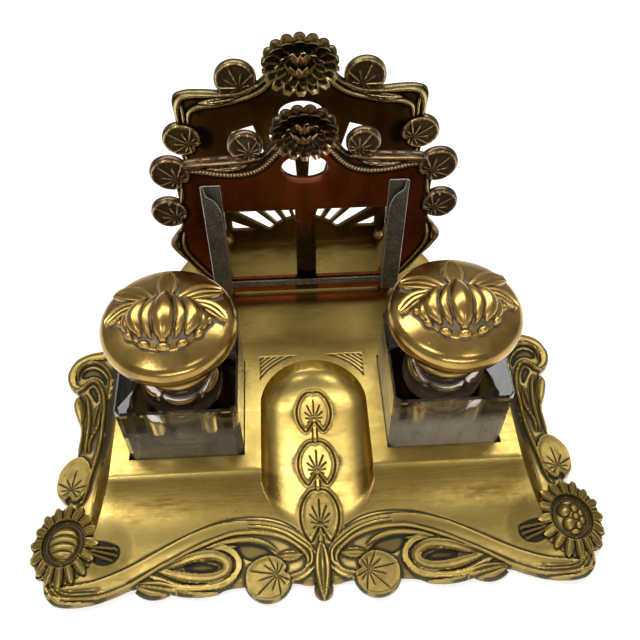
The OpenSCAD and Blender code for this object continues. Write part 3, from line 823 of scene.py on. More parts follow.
def tray_mouth():
    """The curve in which the tray's side runs out down the front cove"""
    points = []
    for x in np.linspace(TRAY_HALF, 1.5, 50):
        z = scoop(np.array([x]), np.array([TOP_FRONT]))[0]
        share = ((z - BORDER_Z) / (TOP_Z - BORDER_Z)) ** (1 / COVE_POWER)
        points.append((x, TOP_FRONT - FRONT_COVE * (1 - share)))
    return points


def front_strokes(r, depth):
    """Right half of the front border: band, ribbons, stems, lily pad and buds"""
    band = [(129, -103), (120, -103.6), (105, -102.4), (92, -97.6), (78, -89.8), (63, -82.6), (49, -78),
            (41, -76.8), (28, -77.4), (17, -80.6), (9.2, -85.9), (5.4, -91.2), (5.7, -96.2), (9, -100),
            (14.5, -101.6)]
    r.band(band, [5, 7.5, 10, 10.5, 9.4, 9, 8, 7, 6.8, 6.8, 6.6, 6, 5.2, 4.4, 4], depth, bead=0.55)
    r.stem([(54.8, -85.4), (46.2, -86), (40.8, -90.4), (39.9, -96), (44.3, -101.4), (55, -104.2),
            (68, -103.4), (78, -98.9), (84, -96.5)], 3.6, depth * 1.35, (0.1, 0.2), rims=0.6)
    r.stem([(79, -95.2), (70, -92.4), (61, -89.6), (51.4, -89.2), (45.4, -93), (46, -97.4), (52.2, -100),
            (62.6, -99.4), (72, -96.9), (80, -94)], 5.6, depth * 1.35, (0.25, 0.2), rims=1)
    r.stem([(56, -85.4), (44, -82.5), (34.4, -82.2), (26, -84.8), (21, -88.6)], 2.7, depth * 1.3,
           (0.15, 0.3))
    r.stem([(52, -86.6), (47, -85.6), (40, -85.2)], 1.8, depth * 1.1, (0.3, 0.3))
    r.stem([(36, -105.2), (46, -107.2), (58, -107), (70, -104.9)], 2.6, depth * 1.2, (0.3, 0.3))
    r.bud((21.6, -91.4), (8.4, -90.8), 5.4, depth * 1.7)
    r.bud((67.5, -105.4), (89, -101.4), 8.4, depth * 1.9, folds=3)
    for shift, width in ((0, 2.1), (2.3, 1.7), (4.2, 1.5), (5.9, 1.3)):
        r.stem([(98, -107.3 + shift), (110, -108.4 + shift), (122, -107.4 + shift),
                (128.8 - shift * 0.5, -102 + shift), (131 - shift, -95 + shift * 0.4)], width, depth * 1.25,
               (0.35, 0.15))
    r.pad((26, -101.6), (11.2, 11.4), 163, depth * 1.7, rays=11)
    r.bud((0, -85), (0, -112.4), 8.6, depth * 2.3, folds=3)
    for away in (1.6, 3.4):
        r.groove([(36, -73.6 - away), (27.6, -74.4 - away), (17.4 + away * 0.2, -77.2 - away),
                  (8.2 + away * 0.7, -82.8 - away * 0.8), (3 + away, -88.4 - away * 0.2),
                  (2.4 + away, -94.6 + away * 0.2), (4.6 + away, -99.2 + away * 0.5)], 0.7, 0.5)
    r.groove([(2.9, -88), (5.4, -83.6), (13, -77.4), (21, -73.6), (31, -71.8), (45, -72.4), (59, -76.4),
              (73.5, -82.8), (87, -89.8), (100, -95.6), (112, -99.2)], 0.95, 0.5)
    r.groove([(46, -79), (57, -82.4), (70, -88.6), (81, -94.2), (93, -100.6)], 0.7, 0.3)
    r.ground_cut([(45.1, -84.9), (36.6, -83.6), (27, -86), (23, -89), (22, -91.6), (28, -92.4),
                  (35.4, -92.4)], 0.45)
    r.ground_cut([(66.1, -93), (57, -92), (49.6, -94), (49.9, -96), (56.4, -97), (64.9, -95.6)], 0.5)
    r.ground_cut([(109.5, -78.6), (98.4, -81), (96.6, -85), (98.6, -89.4), (104.8, -91.2), (110, -88.6)],
                 0.7, 1.2)
    for turn, reach in ((187.5, 25.6), (194, 26), (200.5, 25)):
        ray = np.array([math.cos(math.radians(turn)), math.sin(math.radians(turn))])
        root = np.array(FLOWER_AT)
        r.stem([root + ray * 13, root + ray * reach], 1.5, depth * 0.8, (0.05, 0.05))


def side_strokes(r, depth):
    """Right side border: side leaf, strands, bud and the hollow leaf that curls over at its head"""
    r.stem([(103, 44.5), (111, 38), (118.6, 33), (124.6, 31.8), (130.6, 28.8), (134.2, 23.8), (134.6, 17.4),
            (132.4, 12.6), (127.6, 11)], 6.6, depth * 1.7, (0.2, 0.25), rims=0.45)
    r.stem([(130.6, 16.6), (131.2, 20.4), (129.8, 24.6), (126.4, 27.4), (122.5, 27.8), (118.6, 25.8),
            (115, 22), (112.4, 17), (111.9, 8.8), (112.7, 0)], 2.3, depth * 2.1, (0.15, 0.4))
    r.stem([(133.6, 9.6), (128, 10.3), (124.8, 13.4), (122.3, 15.3), (119.7, 14), (117.1, 10.2), (115, 4.6),
            (113.8, -3.4), (113.6, -11.2), (113.3, -21.4), (114, -31), (116, -42), (117.4, -54),
            (121.5, -64)], 2.5, depth * 2.0, (0.08, 0.3))
    r.stem([(125.4, 7), (122.9, -0.4), (121.2, -9.9), (120.8, -20), (120.8, -30)], 2.3, depth * 1.6,
           (0.15, 0.1))
    r.stem([(125.2, -11.5), (124.4, -19.6), (124, -30)], 2.6, depth * 1.6, (0.1, 0.1))
    r.stem([(117, 0), (118.4, -7.7), (118.6, -14)], 1.6, depth * 1.4, (0.3, 0.3))
    r.stem([(116, -4.2), (116, -13.5), (117.7, -19), (119, -23), (118.8, -30)], 1.9, depth * 1.5,
           (0.25, 0.15))
    r.bud((131.2, 7.4), (125.2, -13.2), 8.4, depth * 2.0, folds=1)
    r.stem([(130.6, 6.6), (127.6, 2), (126, -4), (125.4, -11)], 1.6, depth * 2.2, (0.2, 0.3))
    r.stem([(113.4, 36), (107.4, 34), (105.6, 24)], 2.4, depth, (0.3, 0.3))
    r.stem([(100, 49), (93.4, 60), (87.6, 74), (84, 88)], 4.0, depth * 1.4, (0.2, 0.3))
    r.stem([(96, 47), (90, 58), (85, 72)], 2.2, depth * 1.1, (0.3, 0.3))
    r.pad((124, -45.6), (8.8, 13.6), -84, depth * 1.8)
    r.ground_cut([(129.4, 21), (127.4, 23.7), (123.2, 24.8), (118.6, 22.4), (114.6, 16.4), (115, 12.3),
                  (118.5, 16.8), (122.9, 18.8), (127, 17.4), (129.2, 18.2)], 0.9)
    r.ground_cut([(124.3, 9.6), (121.9, 12.2), (119.3, 8.8), (117.8, 2.8), (119.2, 1.2), (121.9, 5.2)], 0.7)
    r.groove([(112.6, -60), (111, -40), (110.6, -10), (109.8, 14), (104.6, 30)], 0.8, 0.25)


def tray_leaf(r, cy, rx, ry):
    """One of the pads engraved along the tray, split at its foot, with rays for veins"""
    half = [(0, -0.42), (0.28, -0.78), (0.5, -1.0), (0.84, -0.66), (1.0, -0.08), (0.86, 0.48), (0.48, 0.9),
            (0.16, 1.0), (0, 0.93)]
    path = [(rx * u, cy + ry * v) for u, v in half]
    k, away, _ = r.along(path, 3)
    r.keep(k, 0.42 * np.exp(-(((np.abs(away) - 1.0) / 0.55) ** 2)))
    r.groove(path, 0.75, 0.55)
    root = cy - 0.36 * ry
    for turn, reach in ((90, 0.98), (62, 0.82), (36, 0.66), (8, 0.5), (-22, 0.42)):
        a = math.radians(turn)
        r.groove([(0.3 * math.cos(a), root + 0.3 * math.sin(a)),
                  (rx * reach * math.cos(a), root + ry * reach * math.sin(a))], 0.62, 0.45)


def tray_strokes(r):
    """The chain of three pads down the tray and their twin-line stalks"""
    leaves = (-12.3, 9.2, 12.2), (-43.0, 9.6, 12.4), (-71.4, 9.6, 13.4)
    for cy, rx, ry in leaves:
        tray_leaf(r, cy, rx, ry)
    for top, bottom in ((-17.5, -31.2), (-48.6, -58.4), (-78, -87)):
        r.groove([(1.25, top), (1.15, (top + bottom) / 2), (1.35, bottom)], 0.6, 0.45)


def arch_corners(r):
    """Sunk corner fields beside the tray's round end, with ridges that follow the arch"""
    k = r.near((0, -8), (28.4, 17))
    far = np.hypot(r.x[k], r.y[k] - TRAY_END)
    edge = np.minimum(np.minimum(28.3 - r.x[k], 16.9 - r.y[k]), far - 32.2)
    depth = soft_step(edge / 0.5)
    waves = 0.5 - 0.5 * np.cos((far - 32.2) * 2 * math.pi / 1.9)
    r.h[k] -= depth * (0.25 + 0.4 * waves)


def flower_ground(r):
    """Cross-hatching on the cove beside the corner flower and round the front pads"""
    k = r.near((84, -104), (122, -66))
    off = np.hypot((r.x[k] - 105) / 16, (r.y[k] + 83) / 16)
    r.mark[k] = np.maximum(r.mark[k], 0.5 * soft_step((1 - off) / 0.35) * (r.h[k] < 0.3))
    k = r.near((-1, -84), (9, -60))
    off = np.hypot(r.x[k] / 8.4, (r.y[k] + 71.4) / 12)
    r.mark[k] = np.maximum(r.mark[k], 0.35 * soft_step((1 - off) / 0.2))


def well_rim(sign, half, n=24):
    """Points round the square of a well, anticlockwise"""
    side = np.linspace(-1, 1, n, endpoint=False) * half
    square = np.vstack([np.stack([side, np.full(n, -half)], 1), np.stack([np.full(n, half), side], 1),
                        np.stack([-side, np.full(n, half)], 1), np.stack([np.full(n, -half), -side], 1)])
    return square + (sign * WELL[0], WELL[1])


def build_base(depth, fine, plain):
    """One closed mesh: relief sheet on top, wells, rim and hollow underside"""
    outer, *inner = node_loops("base", 2, 0.0)
    rim = smooth_loop(outer, OUTLINE_STEP)
    wells = [well_rim(s, WELL_HALF + WELL_LIP) for s in (1, -1)]

    def relief_zone(x, y):
        x = np.abs(x)
        above_band = -67 - 0.42 * np.clip(x - 45, 0, 50) * (x < 95)
        return (y < above_band) | ((x > 112) & (y < 52)) | ((x > 82) & (y > 42))

    def detail_zone(x, y):
        x = np.abs(x)
        on_leaves = (x < 11) & (y >= -67) & (y < 2)
        on_leaves |= (np.hypot(x - 26, y + 101.6) < 11.6) | (np.hypot((x - 124) / 9, (y + 45.6) / 14) < 1)
        return on_leaves | ((x < 29.5) & (y > -8) & (y < 18) & (np.hypot(x, y - TRAY_END) > 31))

    def tray_zone(x, y):
        return ~relief_zone(x, y) & ~detail_zone(x, y) & ((np.abs(x) < 31) & (y < 16) | (y < TOP_FRONT))

    def plain_zone(x, y):
        return ~relief_zone(x, y) & ~detail_zone(x, y) & ~tray_zone(x, y)

    zones = [(fine, lambda x, y: relief_zone(x, y) & ~detail_zone(x, y)),
             (fine * DETAIL_PITCH, detail_zone), (plain * TRAY_PITCH, tray_zone), (plain, plain_zone)]
    co, tri, rings = fill([rim, *wells], zones, base_creases())
    x, y = co[:, 0], co[:, 1]
    relief = Relief(np.abs(x), y)
    front_strokes(relief, depth)
    side_strokes(relief, depth)
    tray_strokes(relief)
    arch_corners(relief)
    flower_ground(relief)
    z = ground(x, y)
    drop = rounded(distance_to([dense(rim)], co), RIM_ROUND)
    # Painted shade and highlight: the ground's broad bends add to the recess, darkening the coves as shade
    # and lightening the flat top's edge into a highlight line
    ridge = hollows(tri, z, 8)
    ridge[(np.abs(ridge) > 1.2) | ((np.abs(x) < 31) & (y < 18)) | (np.abs(x) > TOP_HALF - 6)] = 0
    recess = creased(tri, relief.h) + np.clip(ridge, -0.3, 0.5) * 0.5
    casting = Surface()
    casting.add(np.stack([x, y, z + relief.h - drop], 1), tri, recess, relief.mark)
    skirt = casting.add(level(co[rings[0]], FOOT_RISE))
    casting.bridge(rings[0], skirt)
    inset = rim + rim_inwards(rim) * FOOT_INSET
    foot = casting.add(level(inset, 0.0))
    casting.bridge(skirt, foot)
    for s, ring in zip((1, -1), rings[1:]):
        lip = casting.add(level(well_rim(s, WELL_HALF), TOP_Z - LIP_DROP))
        floor = casting.add(level(well_rim(s, WELL_HALF), WELL_FLOOR))
        casting.bridge(ring, lip)
        casting.bridge(lip, floor)
        casting.cap(floor)
    add_underside(casting, inset, foot, [smooth_loop(loop, HOLLOW_STEP) for loop in inner])
    return casting


def dense(loop, step=0.12):
    """More points along a closed outline, for measuring distances to it"""
    ends = np.roll(loop, -1, 0)
    n = np.maximum(1, np.ceil(np.linalg.norm(ends - loop, axis=1) / step).astype(int))
    return np.vstack([a + (b - a) * (np.arange(k) / k)[:, None] for a, b, k in zip(loop, ends, n)])


def rim_inwards(loop):
    """Unit directions that point into an anticlockwise outline from its points"""
    along = np.roll(loop, -1, 0) - np.roll(loop, 1, 0)
    area = (loop[:, 0] * np.roll(loop[:, 1], -1) - loop[:, 1] * np.roll(loop[:, 0], -1)).sum()
    inward = np.stack([-along[:, 1], along[:, 0]], 1) * np.sign(area)
    return inward / np.linalg.norm(inward, axis=1, keepdims=True)


def add_underside(casting, outline, foot, hollow_rims):
    """The flat ring that the stand rests on, the walls inside it and the ceiling of the hollow"""
    co, tri, rings = fill([outline, *hollow_rims], all_over(UNDERSIDE_PITCH))
    index = casting.add(level(co, 0.0))
    index[rings[0]] = foot
    casting.faces += [tuple(int(index[i]) for i in t[::-1]) for t in tri]
    wells = [well_rim(s, WELL_HALF + grow) for grow in (WALL - STEP, WALL + STEP) for s in (1, -1)]
    creases = [np.vstack([well, well[:1]]) for well in wells]
    for loop, ring in zip(hollow_rims, rings[1:]):
        top, faces, edge = fill([loop], all_over(CEILING_PITCH), creases)
        z = ceiling(top[:, 0], top[:, 1])
        numbers = casting.add(np.column_stack([top, z]), faces[:, ::-1])
        casting.bridge(index[ring], numbers[edge[0]])


# Rack plates

def front_plate_strokes(r, depth):
    """Right half of the front plate's cast border, heights above the flat top"""
    r.stem([(12, 112), (17, 106.6), (22, 102.6), (30, 100.2), (40, 99.2), (50, 98.8), (60, 98.4)], 3.6,
           depth * 1.2, (0.1, 0.1))
    r.stem([(11, 107.6), (14.6, 102.4), (20, 96.4), (26, 92.8), (34, 91.4), (43, 92.2), (52, 94.4),
            (60, 95)], 3.0, depth, (0.1, 0.15), ribs=1.7)
    r.bud((28, 97.4), (48, 96), 4.6, depth * 1.5, folds=3)
    r.stem([(50, 96.6), (58, 97.4), (62, 96.4)], 2.6, depth, (0.3, 0.2))
    r.stem([(65, 86), (66.6, 79), (70, 73)], 2.8, depth * 1.2, (0.1, 0.1))
    r.stem([(61.6, 86), (62.6, 78), (66, 70), (67, 62), (66, 54)], 2.0, depth * 0.8, (0.2, 0.3))
    r.stem([(67.6, 58), (69, 51), (72, 45), (69.4, 38.6), (65.6, 31), (60.6, 22.6), (55.6, 15.4), (51.4, 8),
            (49.8, 2)], 3.0, depth * 1.2, (0.15, 0.1))
    r.stem([(64.6, 54), (66, 45), (64.6, 37), (60.4, 28.6), (55.6, 20.6), (51, 13), (47.8, 5)], 1.9,
           depth * 0.8, (0.25, 0.25))
    r.bud((70.4, 50.6), (71, 38.4), 5.4, depth * 1.3)
    r.pad((28.5, 108.5), (8.4, 8.4), 235, depth, True)
    r.pad((66.2, 93.4), (9.8, 9.8), 225, depth, True)
    r.pad((70.2, 67.5), (9.4, 9.4), 215, depth, True)


def rear_plate_strokes(r, depth):
    """Right half of the rear plate's cast border"""
    r.stem([(15, 122), (19.6, 116.6), (25, 112.6), (33, 109.4), (45, 109), (56, 109.2), (62, 107.4),
            (64.6, 101), (64.8, 92)], 3.6, depth * 1.3, (0.1, 0.15))
    r.stem([(14, 117.6), (18.6, 112), (25, 108), (34, 105), (44, 102.8), (53, 101.8), (58.4, 98.6),
            (60, 91)], 3.0, depth * 1.1, (0.1, 0.2))
    r.stem([(62.4, 105), (61.8, 98), (62, 92)], 1.8, depth * 0.9, (0.2, 0.2))
    r.bud((33, 106.8), (53, 104.2), 5.0, depth * 1.6, folds=3)
    r.pad((33, 117.3), (10.6, 10.6), 248, depth, True)
    r.pad((64.5, 81.2), (10.3, 10.3), 215, depth, True)
    r.stem([(64, 71), (62, 60), (59.4, 50), (55.6, 36), (52, 22), (49.6, 8), (48.4, 1)], 2.4, depth * 0.9,
           (0.15, 0.1))


def build_plate(node, strokes, zone, depth, fine, plain):
    """A pierced upright plate as one closed mesh: relief in front, flat behind"""
    back = box_mm(node)[1][1]
    rims = [smooth_loop(loop, OUTLINE_STEP) for loop in node_loops(node, 1, back)]
    co, tri, rings = fill(rims, [(fine, zone), (plain, lambda x, z: ~zone(x, z))])
    relief = Relief(np.abs(co[:, 0]), co[:, 1] - TOP_Z)
    strokes(relief, depth)
    off = distance_to([dense(rim) for rim in rims], co)
    height = relief.h * (0.35 + 0.65 * soft_step(off / (2 * PLATE_ROUND)))
    # Hollows of the relief darken; the outline's edges lighten, partly as rub and partly as painted highlight
    recess = creased(tri, relief.h) * 0.8 * soft_step((off - 0.2) / 1.2) - 0.1 * np.exp(-((off / 0.5) ** 2))
    crown = (np.abs(co[:, 0]) < 19) & (co[:, 1] > box_mm(node)[1][2] - 22)
    cast = np.maximum(soft_step((relief.h - 0.1) / 0.35), zone(co[:, 0], co[:, 1]) * (off < 0.5) | crown)
    sheet = Surface()
    sheet.add(upright(co, back - PLATE - height + rounded(off, PLATE_ROUND)), tri, recess, cast)
    flat, faces, back_rings = fill(rims, all_over(BACK_PITCH))
    edge = np.zeros(len(flat))
    edge[np.concatenate(back_rings)] = 1
    edge *= zone(flat[:, 0], flat[:, 1])
    behind = sheet.add(upright(flat, back), faces[:, ::-1], edge * 0.1, edge)
    for a, b in zip(rings, back_rings):
        sheet.bridge(a, behind[b])
    return sheet


def front_plate_zone(x, z):
    x, z = np.abs(x), z - TOP_Z
    return ((z > 88) & (x > 9)) | (x > 56) | ((x > 45) & (z < 30))


def rear_plate_zone(x, z):
    x, z = np.abs(x), z - TOP_Z
    return ((z > 99) & (x > 12)) | (x > 55) | ((x > 46) & (z < 45))


def build_lugs():
    """The cast lugs behind both plates, drilled for the bolts"""
    lugs = Surface()
    turn = np.radians(np.linspace(0, 180, 25))
    hole = np.radians(np.arange(0, 360, 15))
    for place, bolt_z, y in LUGS:
        for s in (1, -1):
            foot = [(s * (place - LUG_HALF), TOP_Z - 0.5), (s * (place + LUG_HALF), TOP_Z - 0.5)]
            head = np.stack([s * place + LUG_HALF * s * np.cos(turn), bolt_z + LUG_HALF * np.sin(turn)], 1)
            bore = np.stack([s * place + BOLT_R * np.cos(hole), bolt_z + BOLT_R * np.sin(hole)], 1)
            flat, faces, rings = fill([np.vstack([foot, head]), bore], all_over(LUG_PITCH))
            near = lugs.add(upright(flat, y), faces)
            far = lugs.add(upright(flat, y + LUG_T), faces[:, ::-1])
            for ring in rings:
                lugs.bridge(near[ring], far[ring])
    return lugs


# Corner flowers: drawn as relief on an oval

def petal_half(share, width):
    """Half width of a petal, in steps of its ring, at a share of its length"""
    return 0.5 * width * np.minimum(1, 0.62 + 1.1 * share) * (1 - share**3.4) ** 0.75 + 1e-4


def petal_edge(turn, ring):
    """How far out a ring of petals reaches at each angle"""
    shift, count, inner, outer, width = ring
    off = np.abs((turn - shift) * count / 360 - np.round((turn - shift) * count / 360))
    shares = np.linspace(0, 1, 60)
    return inner + (outer - inner) * np.interp(-off, -petal_half(shares, width), shares, left=0.3)


def petal_circle(r, rho, turn, ring, height):
    """A ring of pointed petals with raised rims and midribs; each covers what it lies on"""
    shift, count, inner, outer, width = ring
    off = (turn - shift) * count / 360
    number = np.round(off)
    off -= number
    reach = outer * (0.98 + 0.02 * np.sin(number * 2.4))
    share = np.clip((rho - inner) / (reach - inner), 0, 1)
    u = np.abs(off) / petal_half(share, width)
    rim = np.exp(-(((u - 0.8) / 0.13) ** 2))
    rib = 0.55 * np.exp(-((u / 0.13) ** 2)) * (1 - share)
    form = soft_step((1 - u) / 0.16) * (0.4 + 0.6 * np.maximum(rim, rib))
    slope = 1 - 0.55 * soft_step((rho - inner) / (1.02 - inner))
    covered = (u < 1) & (rho > inner) & (rho < reach)
    r.h[covered] = (height * slope + 1.2 * form - 0.7)[covered]
    return covered


def corner_flower(side, fine):
    """Flower on a front corner: two rings of petals, a sunk ring and a bud, folded on the left one and lobed
    on the right one"""
    turn = np.arange(0, 360, 1.0)
    edge = np.maximum(petal_edge(turn, PETAL_RINGS[0]), petal_edge(turn, PETAL_RINGS[1]))
    rim = np.stack([FLOWER_SIZE[0] * edge * np.cos(np.radians(turn)),
                    FLOWER_SIZE[1] * edge * np.sin(np.radians(turn))], 1)
    co, tri, (ring,) = fill([rim], all_over(fine))
    x, y = co[:, 0], co[:, 1]
    r = Relief(x, y)
    everywhere = np.arange(len(co))
    u, v = x / FLOWER_SIZE[0], y / FLOWER_SIZE[1]
    for petals, height in zip(PETAL_RINGS, PETAL_HEIGHTS):
        front = petal_circle(r, np.hypot(u, v), np.degrees(np.arctan2(v, u)), petals, height)
    middle = np.hypot(x / 9.9, y / 11.7)
    trough = middle < 1.06
    r.h[trough] = TROUGH_Z
    for radius, width, height in ((1.05, 0.05, 4.6), (0.9, 0.03, 2.8)):
        r.keep(everywhere, height * np.exp(-(((middle - radius) / width) ** 2)))
    bud = np.hypot(x / 7.9, y / 9.6)
    dome = BUD_Z + 3.6 * np.sqrt(np.maximum(0, 1 - bud**2))
    if side < 0:
        fold = np.abs(np.sin(math.pi * (y + 0.035 * x**2) / 3.9)) ** 0.55
        folded = BUD_Z + (dome - BUD_Z) * soft_step((1 - bud) / 0.22) * (0.6 + 0.4 * fold)
        r.keep(everywhere[bud < 1], folded[bud < 1])
    else:
        r.keep(everywhere[bud < 1], (dome - BUD_SINK)[bud < 1])
        for x0, y0, a, b, high in BUD_LOBES:
            off = np.hypot((x - x0) / a, (y - y0) / b)
            lobe_top = dome - BUD_SINK + high * np.sqrt(np.maximum(0, 1 - off**2))
            r.keep(everywhere[off < 1], lobe_top[off < 1])
    # Painted shade: the lower ring of petals darkens where it shows between the upper petals
    recess = hollows(tri, r.h, 5) * 2.0 + 0.22 * (~front & (middle > 1.06))
    recess[trough & (bud > 0.97) & (r.h < 3)] += 0.35
    flower = Surface()
    flower.add(np.column_stack([co, r.h]), tri, recess, np.zeros(len(co)))
    flower.cap(ring[::-1])
    return flower


# Rack flowers: rings of petals

def petal_mesh(name, length, width, cup, curl, thick=0.45, blunt=0.5, gilt_and_highlight=0.0):
    """A cupped petal along +X from its root, closed, with light and shade painted into its recess: rims and
    tip lighter as rub and painted highlight round a hollow in painted shade, and an underside in painted
    shade at the root, highlit towards the tip"""
    along, across = np.linspace(0, 1, 10), np.array([-1, -0.8, -0.55, 0, 0.55, 0.8, 1])
    petal = Surface()
    sheets = []
    for face in (1, -1):
        rows = []
        for t in along:
            half = width / 2 * (np.sin(math.pi * min(t, 0.97) ** 0.8) ** blunt * 0.92 + 0.08 * (1 - t))
            z = cup * across**2 * math.sin(math.pi * (0.15 + 0.8 * t)) + curl * t**3
            # Painted light: upper face in painted shade inside the cup, lighter on the rims and the tip as
            # painted highlight; underside in painted shade at the root, highlit towards the tip
            if face > 0:
                dark = np.where(np.abs(across) > 0.7, -0.4 * soft_step(t * 1.6), 0.25)
                dark = np.minimum(dark, 0.25 - 0.75 * soft_step((t - 0.75) / 0.2))
            else:
                z = z - thick * (1 - 0.5 * across**2)
                dark = 0.3 - (0.3 + gilt_and_highlight) * soft_step((t - 0.2) / 0.5) * (1 - 0.6 * across**2)
            rows.append(petal.add(np.column_stack([np.full(7, t * length), across * half, z]), (), dark))
        sheets.append(rows)
    top, under = sheets
    for rows in (top, under):
        for a, b in zip(rows[:-1], rows[1:]):
            petal.bridge(a, b, closed=False)
    for i in (0, -1):
        petal.bridge(top[i], under[i], closed=False)
    for j in (0, -1):
        petal.bridge([row[j] for row in top], [row[j] for row in under], closed=False)
    return petal.object(name, sharp=70)


def petal_ring_tree():
    """Geometry Nodes: copies of one petal round a centre, each turned outwards and tilted"""
    tree = bpy.data.node_groups.new("Petal Ring", "GeometryNodeTree")
    sizes = {}
    for label, kind in (("Petal", "Object"), ("Count", "Int"), ("Radius", "Float"), ("Lift", "Float"),
                        ("Tilt", "Float"), ("Turn", "Float"), ("Material", "Material")):
        sizes[label] = tree.interface.new_socket(label, in_out="INPUT",
                                                 socket_type="NodeSocket" + kind).identifier
    tree.interface.new_socket("Petals", in_out="OUTPUT", socket_type="NodeSocketGeometry")
    make = tree.nodes.new
    given = {s.name: Wire(tree, s) for s in make("NodeGroupInput").outputs if s.name}
    index = Wire(tree, make("GeometryNodeInputIndex").outputs[0])
    angle = index * (2 * math.pi) / given["Count"] + given["Turn"]
    place, turned = make("ShaderNodeCombineXYZ"), make("ShaderNodeCombineXYZ")
    round_x = angle.math("COSINE", angle) * given["Radius"]
    round_y = angle.wave() * given["Radius"]
    for node, values in ((place, (round_x, round_y, given["Lift"])),
                         (turned, (0.0, -given["Tilt"], angle))):
        for slot, value in zip(node.inputs, values):
            plug(tree, value, slot)
    points, petal = make("GeometryNodePoints"), make("GeometryNodeObjectInfo")
    copies, real = make("GeometryNodeInstanceOnPoints"), make("GeometryNodeRealizeInstances")
    painted, shown = make("GeometryNodeSetMaterial"), make("NodeGroupOutput")
    plug(tree, given["Count"], points.inputs["Count"])
    plug(tree, given["Petal"], petal.inputs["Object"])
    plug(tree, given["Material"], painted.inputs["Material"])
    for socket, slot in ((place.outputs[0], points.inputs["Position"]),
                         (points.outputs[0], copies.inputs["Points"]),
                         (petal.outputs["Geometry"], copies.inputs["Instance"]),
                         (turned.outputs[0], copies.inputs["Rotation"]),
                         (copies.outputs[0], real.inputs[0]), (real.outputs[0], painted.inputs["Geometry"]),
                         (painted.outputs[0], shown.inputs[0])):
        tree.links.new(socket, slot)
    return tree, sizes


def ring_of_petals(surface, tree, sizes, material, petal, count, radius, lift, tilt, turn):
    """Adds one ring of petals, made by the tree, to a surface in the making"""
    carrier = new_object("ring", bpy.data.meshes.new("ring"))
    modifier = carrier.modifiers.new("Petals", "NODES")
    modifier.node_group = tree
    values = {"Petal": petal, "Count": count, "Radius": radius * MM, "Lift": lift * MM,
              "Tilt": math.radians(tilt), "Turn": math.radians(turn), "Material": material}
    for label, value in values.items():
        modifier[sizes[label]] = value
    carrier.update_tag()
    shown = carrier.evaluated_get(bpy.context.evaluated_depsgraph_get())
    mesh = bpy.data.meshes.new_from_object(shown)
    carrier.modifiers.clear()
    bpy.data.objects.remove(carrier)
    co = np.empty(len(mesh.vertices) * 3, np.float32)
    mesh.vertices.foreach_get("co", co)
    dark = np.empty(len(mesh.vertices), np.float32)
    mesh.attributes["recess"].data.foreach_get("value", dark)
    surface.add(co.reshape(-1, 3) / MM, [tuple(p.vertices) for p in mesh.polygons], dark)
    bpy.data.meshes.remove(mesh)


def add_disc(surface, radius, height, recess=0.3, sides=64):
    """A low closed disc under the petals, darkened by its recess as painted shade between them"""
    profile = [(radius * 0.6, 0), (radius, 0), (radius, height * 0.5), (radius * 0.8, height)]
    rings = [surface.add(level(circle(r, sides), z), (), np.full(sides, recess)) for r, z in profile]
    for a, b in zip(rings[:-1], rings[1:]):
        surface.bridge(a, b)
    surface.fan(rings[0][::-1], (0, 0, 0))
    surface.fan(rings[-1], (0, 0, height))


def upright_cup(ring, scale, radius):
    """The half-open bud in the middle of a rack flower: two rings of pointed scales that stand upright"""
    cup = Surface()
    ring_of_petals(cup, *ring, scale, 11, radius * 0.2, -radius * 0.52, 70, 0)
    ring_of_petals(cup, *ring, scale, 10, radius * 0.14, -radius * 0.2, 76, 18)
    cup.points = [points * (1, 0.62, 1) for points in cup.points]
    return cup


def rack_flower(tree, sizes, material, radius, petals, squash, place):
    """Flower on a plate: spoon-shaped petals curled at the tip, fanned round a bud of pointed scales"""
    flower = Surface()
    outer = petal_mesh("outer", radius * 0.62, radius * 0.4, 1.6, radius * 0.26, 0.9, 0.32, 0.7)
    inner = petal_mesh("inner", radius * 0.42, radius * 0.3, 1.5, radius * 0.08, 0.8, 0.45, 0.6)
    scale = petal_mesh("scale", radius * 0.64, radius * 0.27, 1.0, -radius * 0.04, 0.8, 1.0, 0.75)
    ring = (tree, sizes, material)
    add_disc(flower, radius * 0.78, 1.2)
    ring_of_petals(flower, *ring, outer, petals, radius * 0.4, 0.8, 4, 0)
    ring_of_petals(flower, *ring, inner, petals - 3, radius * 0.38, 1.4, 40, 0)
    flower.points = [(points * squash)[:, [0, 2, 1]] * (1, -1, 1) + place for points in flower.points]
    cup = upright_cup(ring, scale, radius)
    for points, dark in zip(cup.points, cup.recess):
        flower.points.append(points + place + (0, -radius * 0.06, 0))
        flower.recess.append(dark)
    flower.faces += [tuple(i + flower.count for i in face) for face in cup.faces]
    flower.count += cup.count
    for petal in (outer, inner, scale):
        bpy.data.objects.remove(petal)
    flower.mark = [np.ones(len(points)) for points in flower.points]
    return flower


# Inkwells

def bevelled_square(half, leg):
    return np.array([(half, leg - half), (half, half - leg), (half - leg, half), (leg - half, half),
                     (-half, half - leg), (-half, leg - half), (leg - half, -half), (half - leg, -half)])


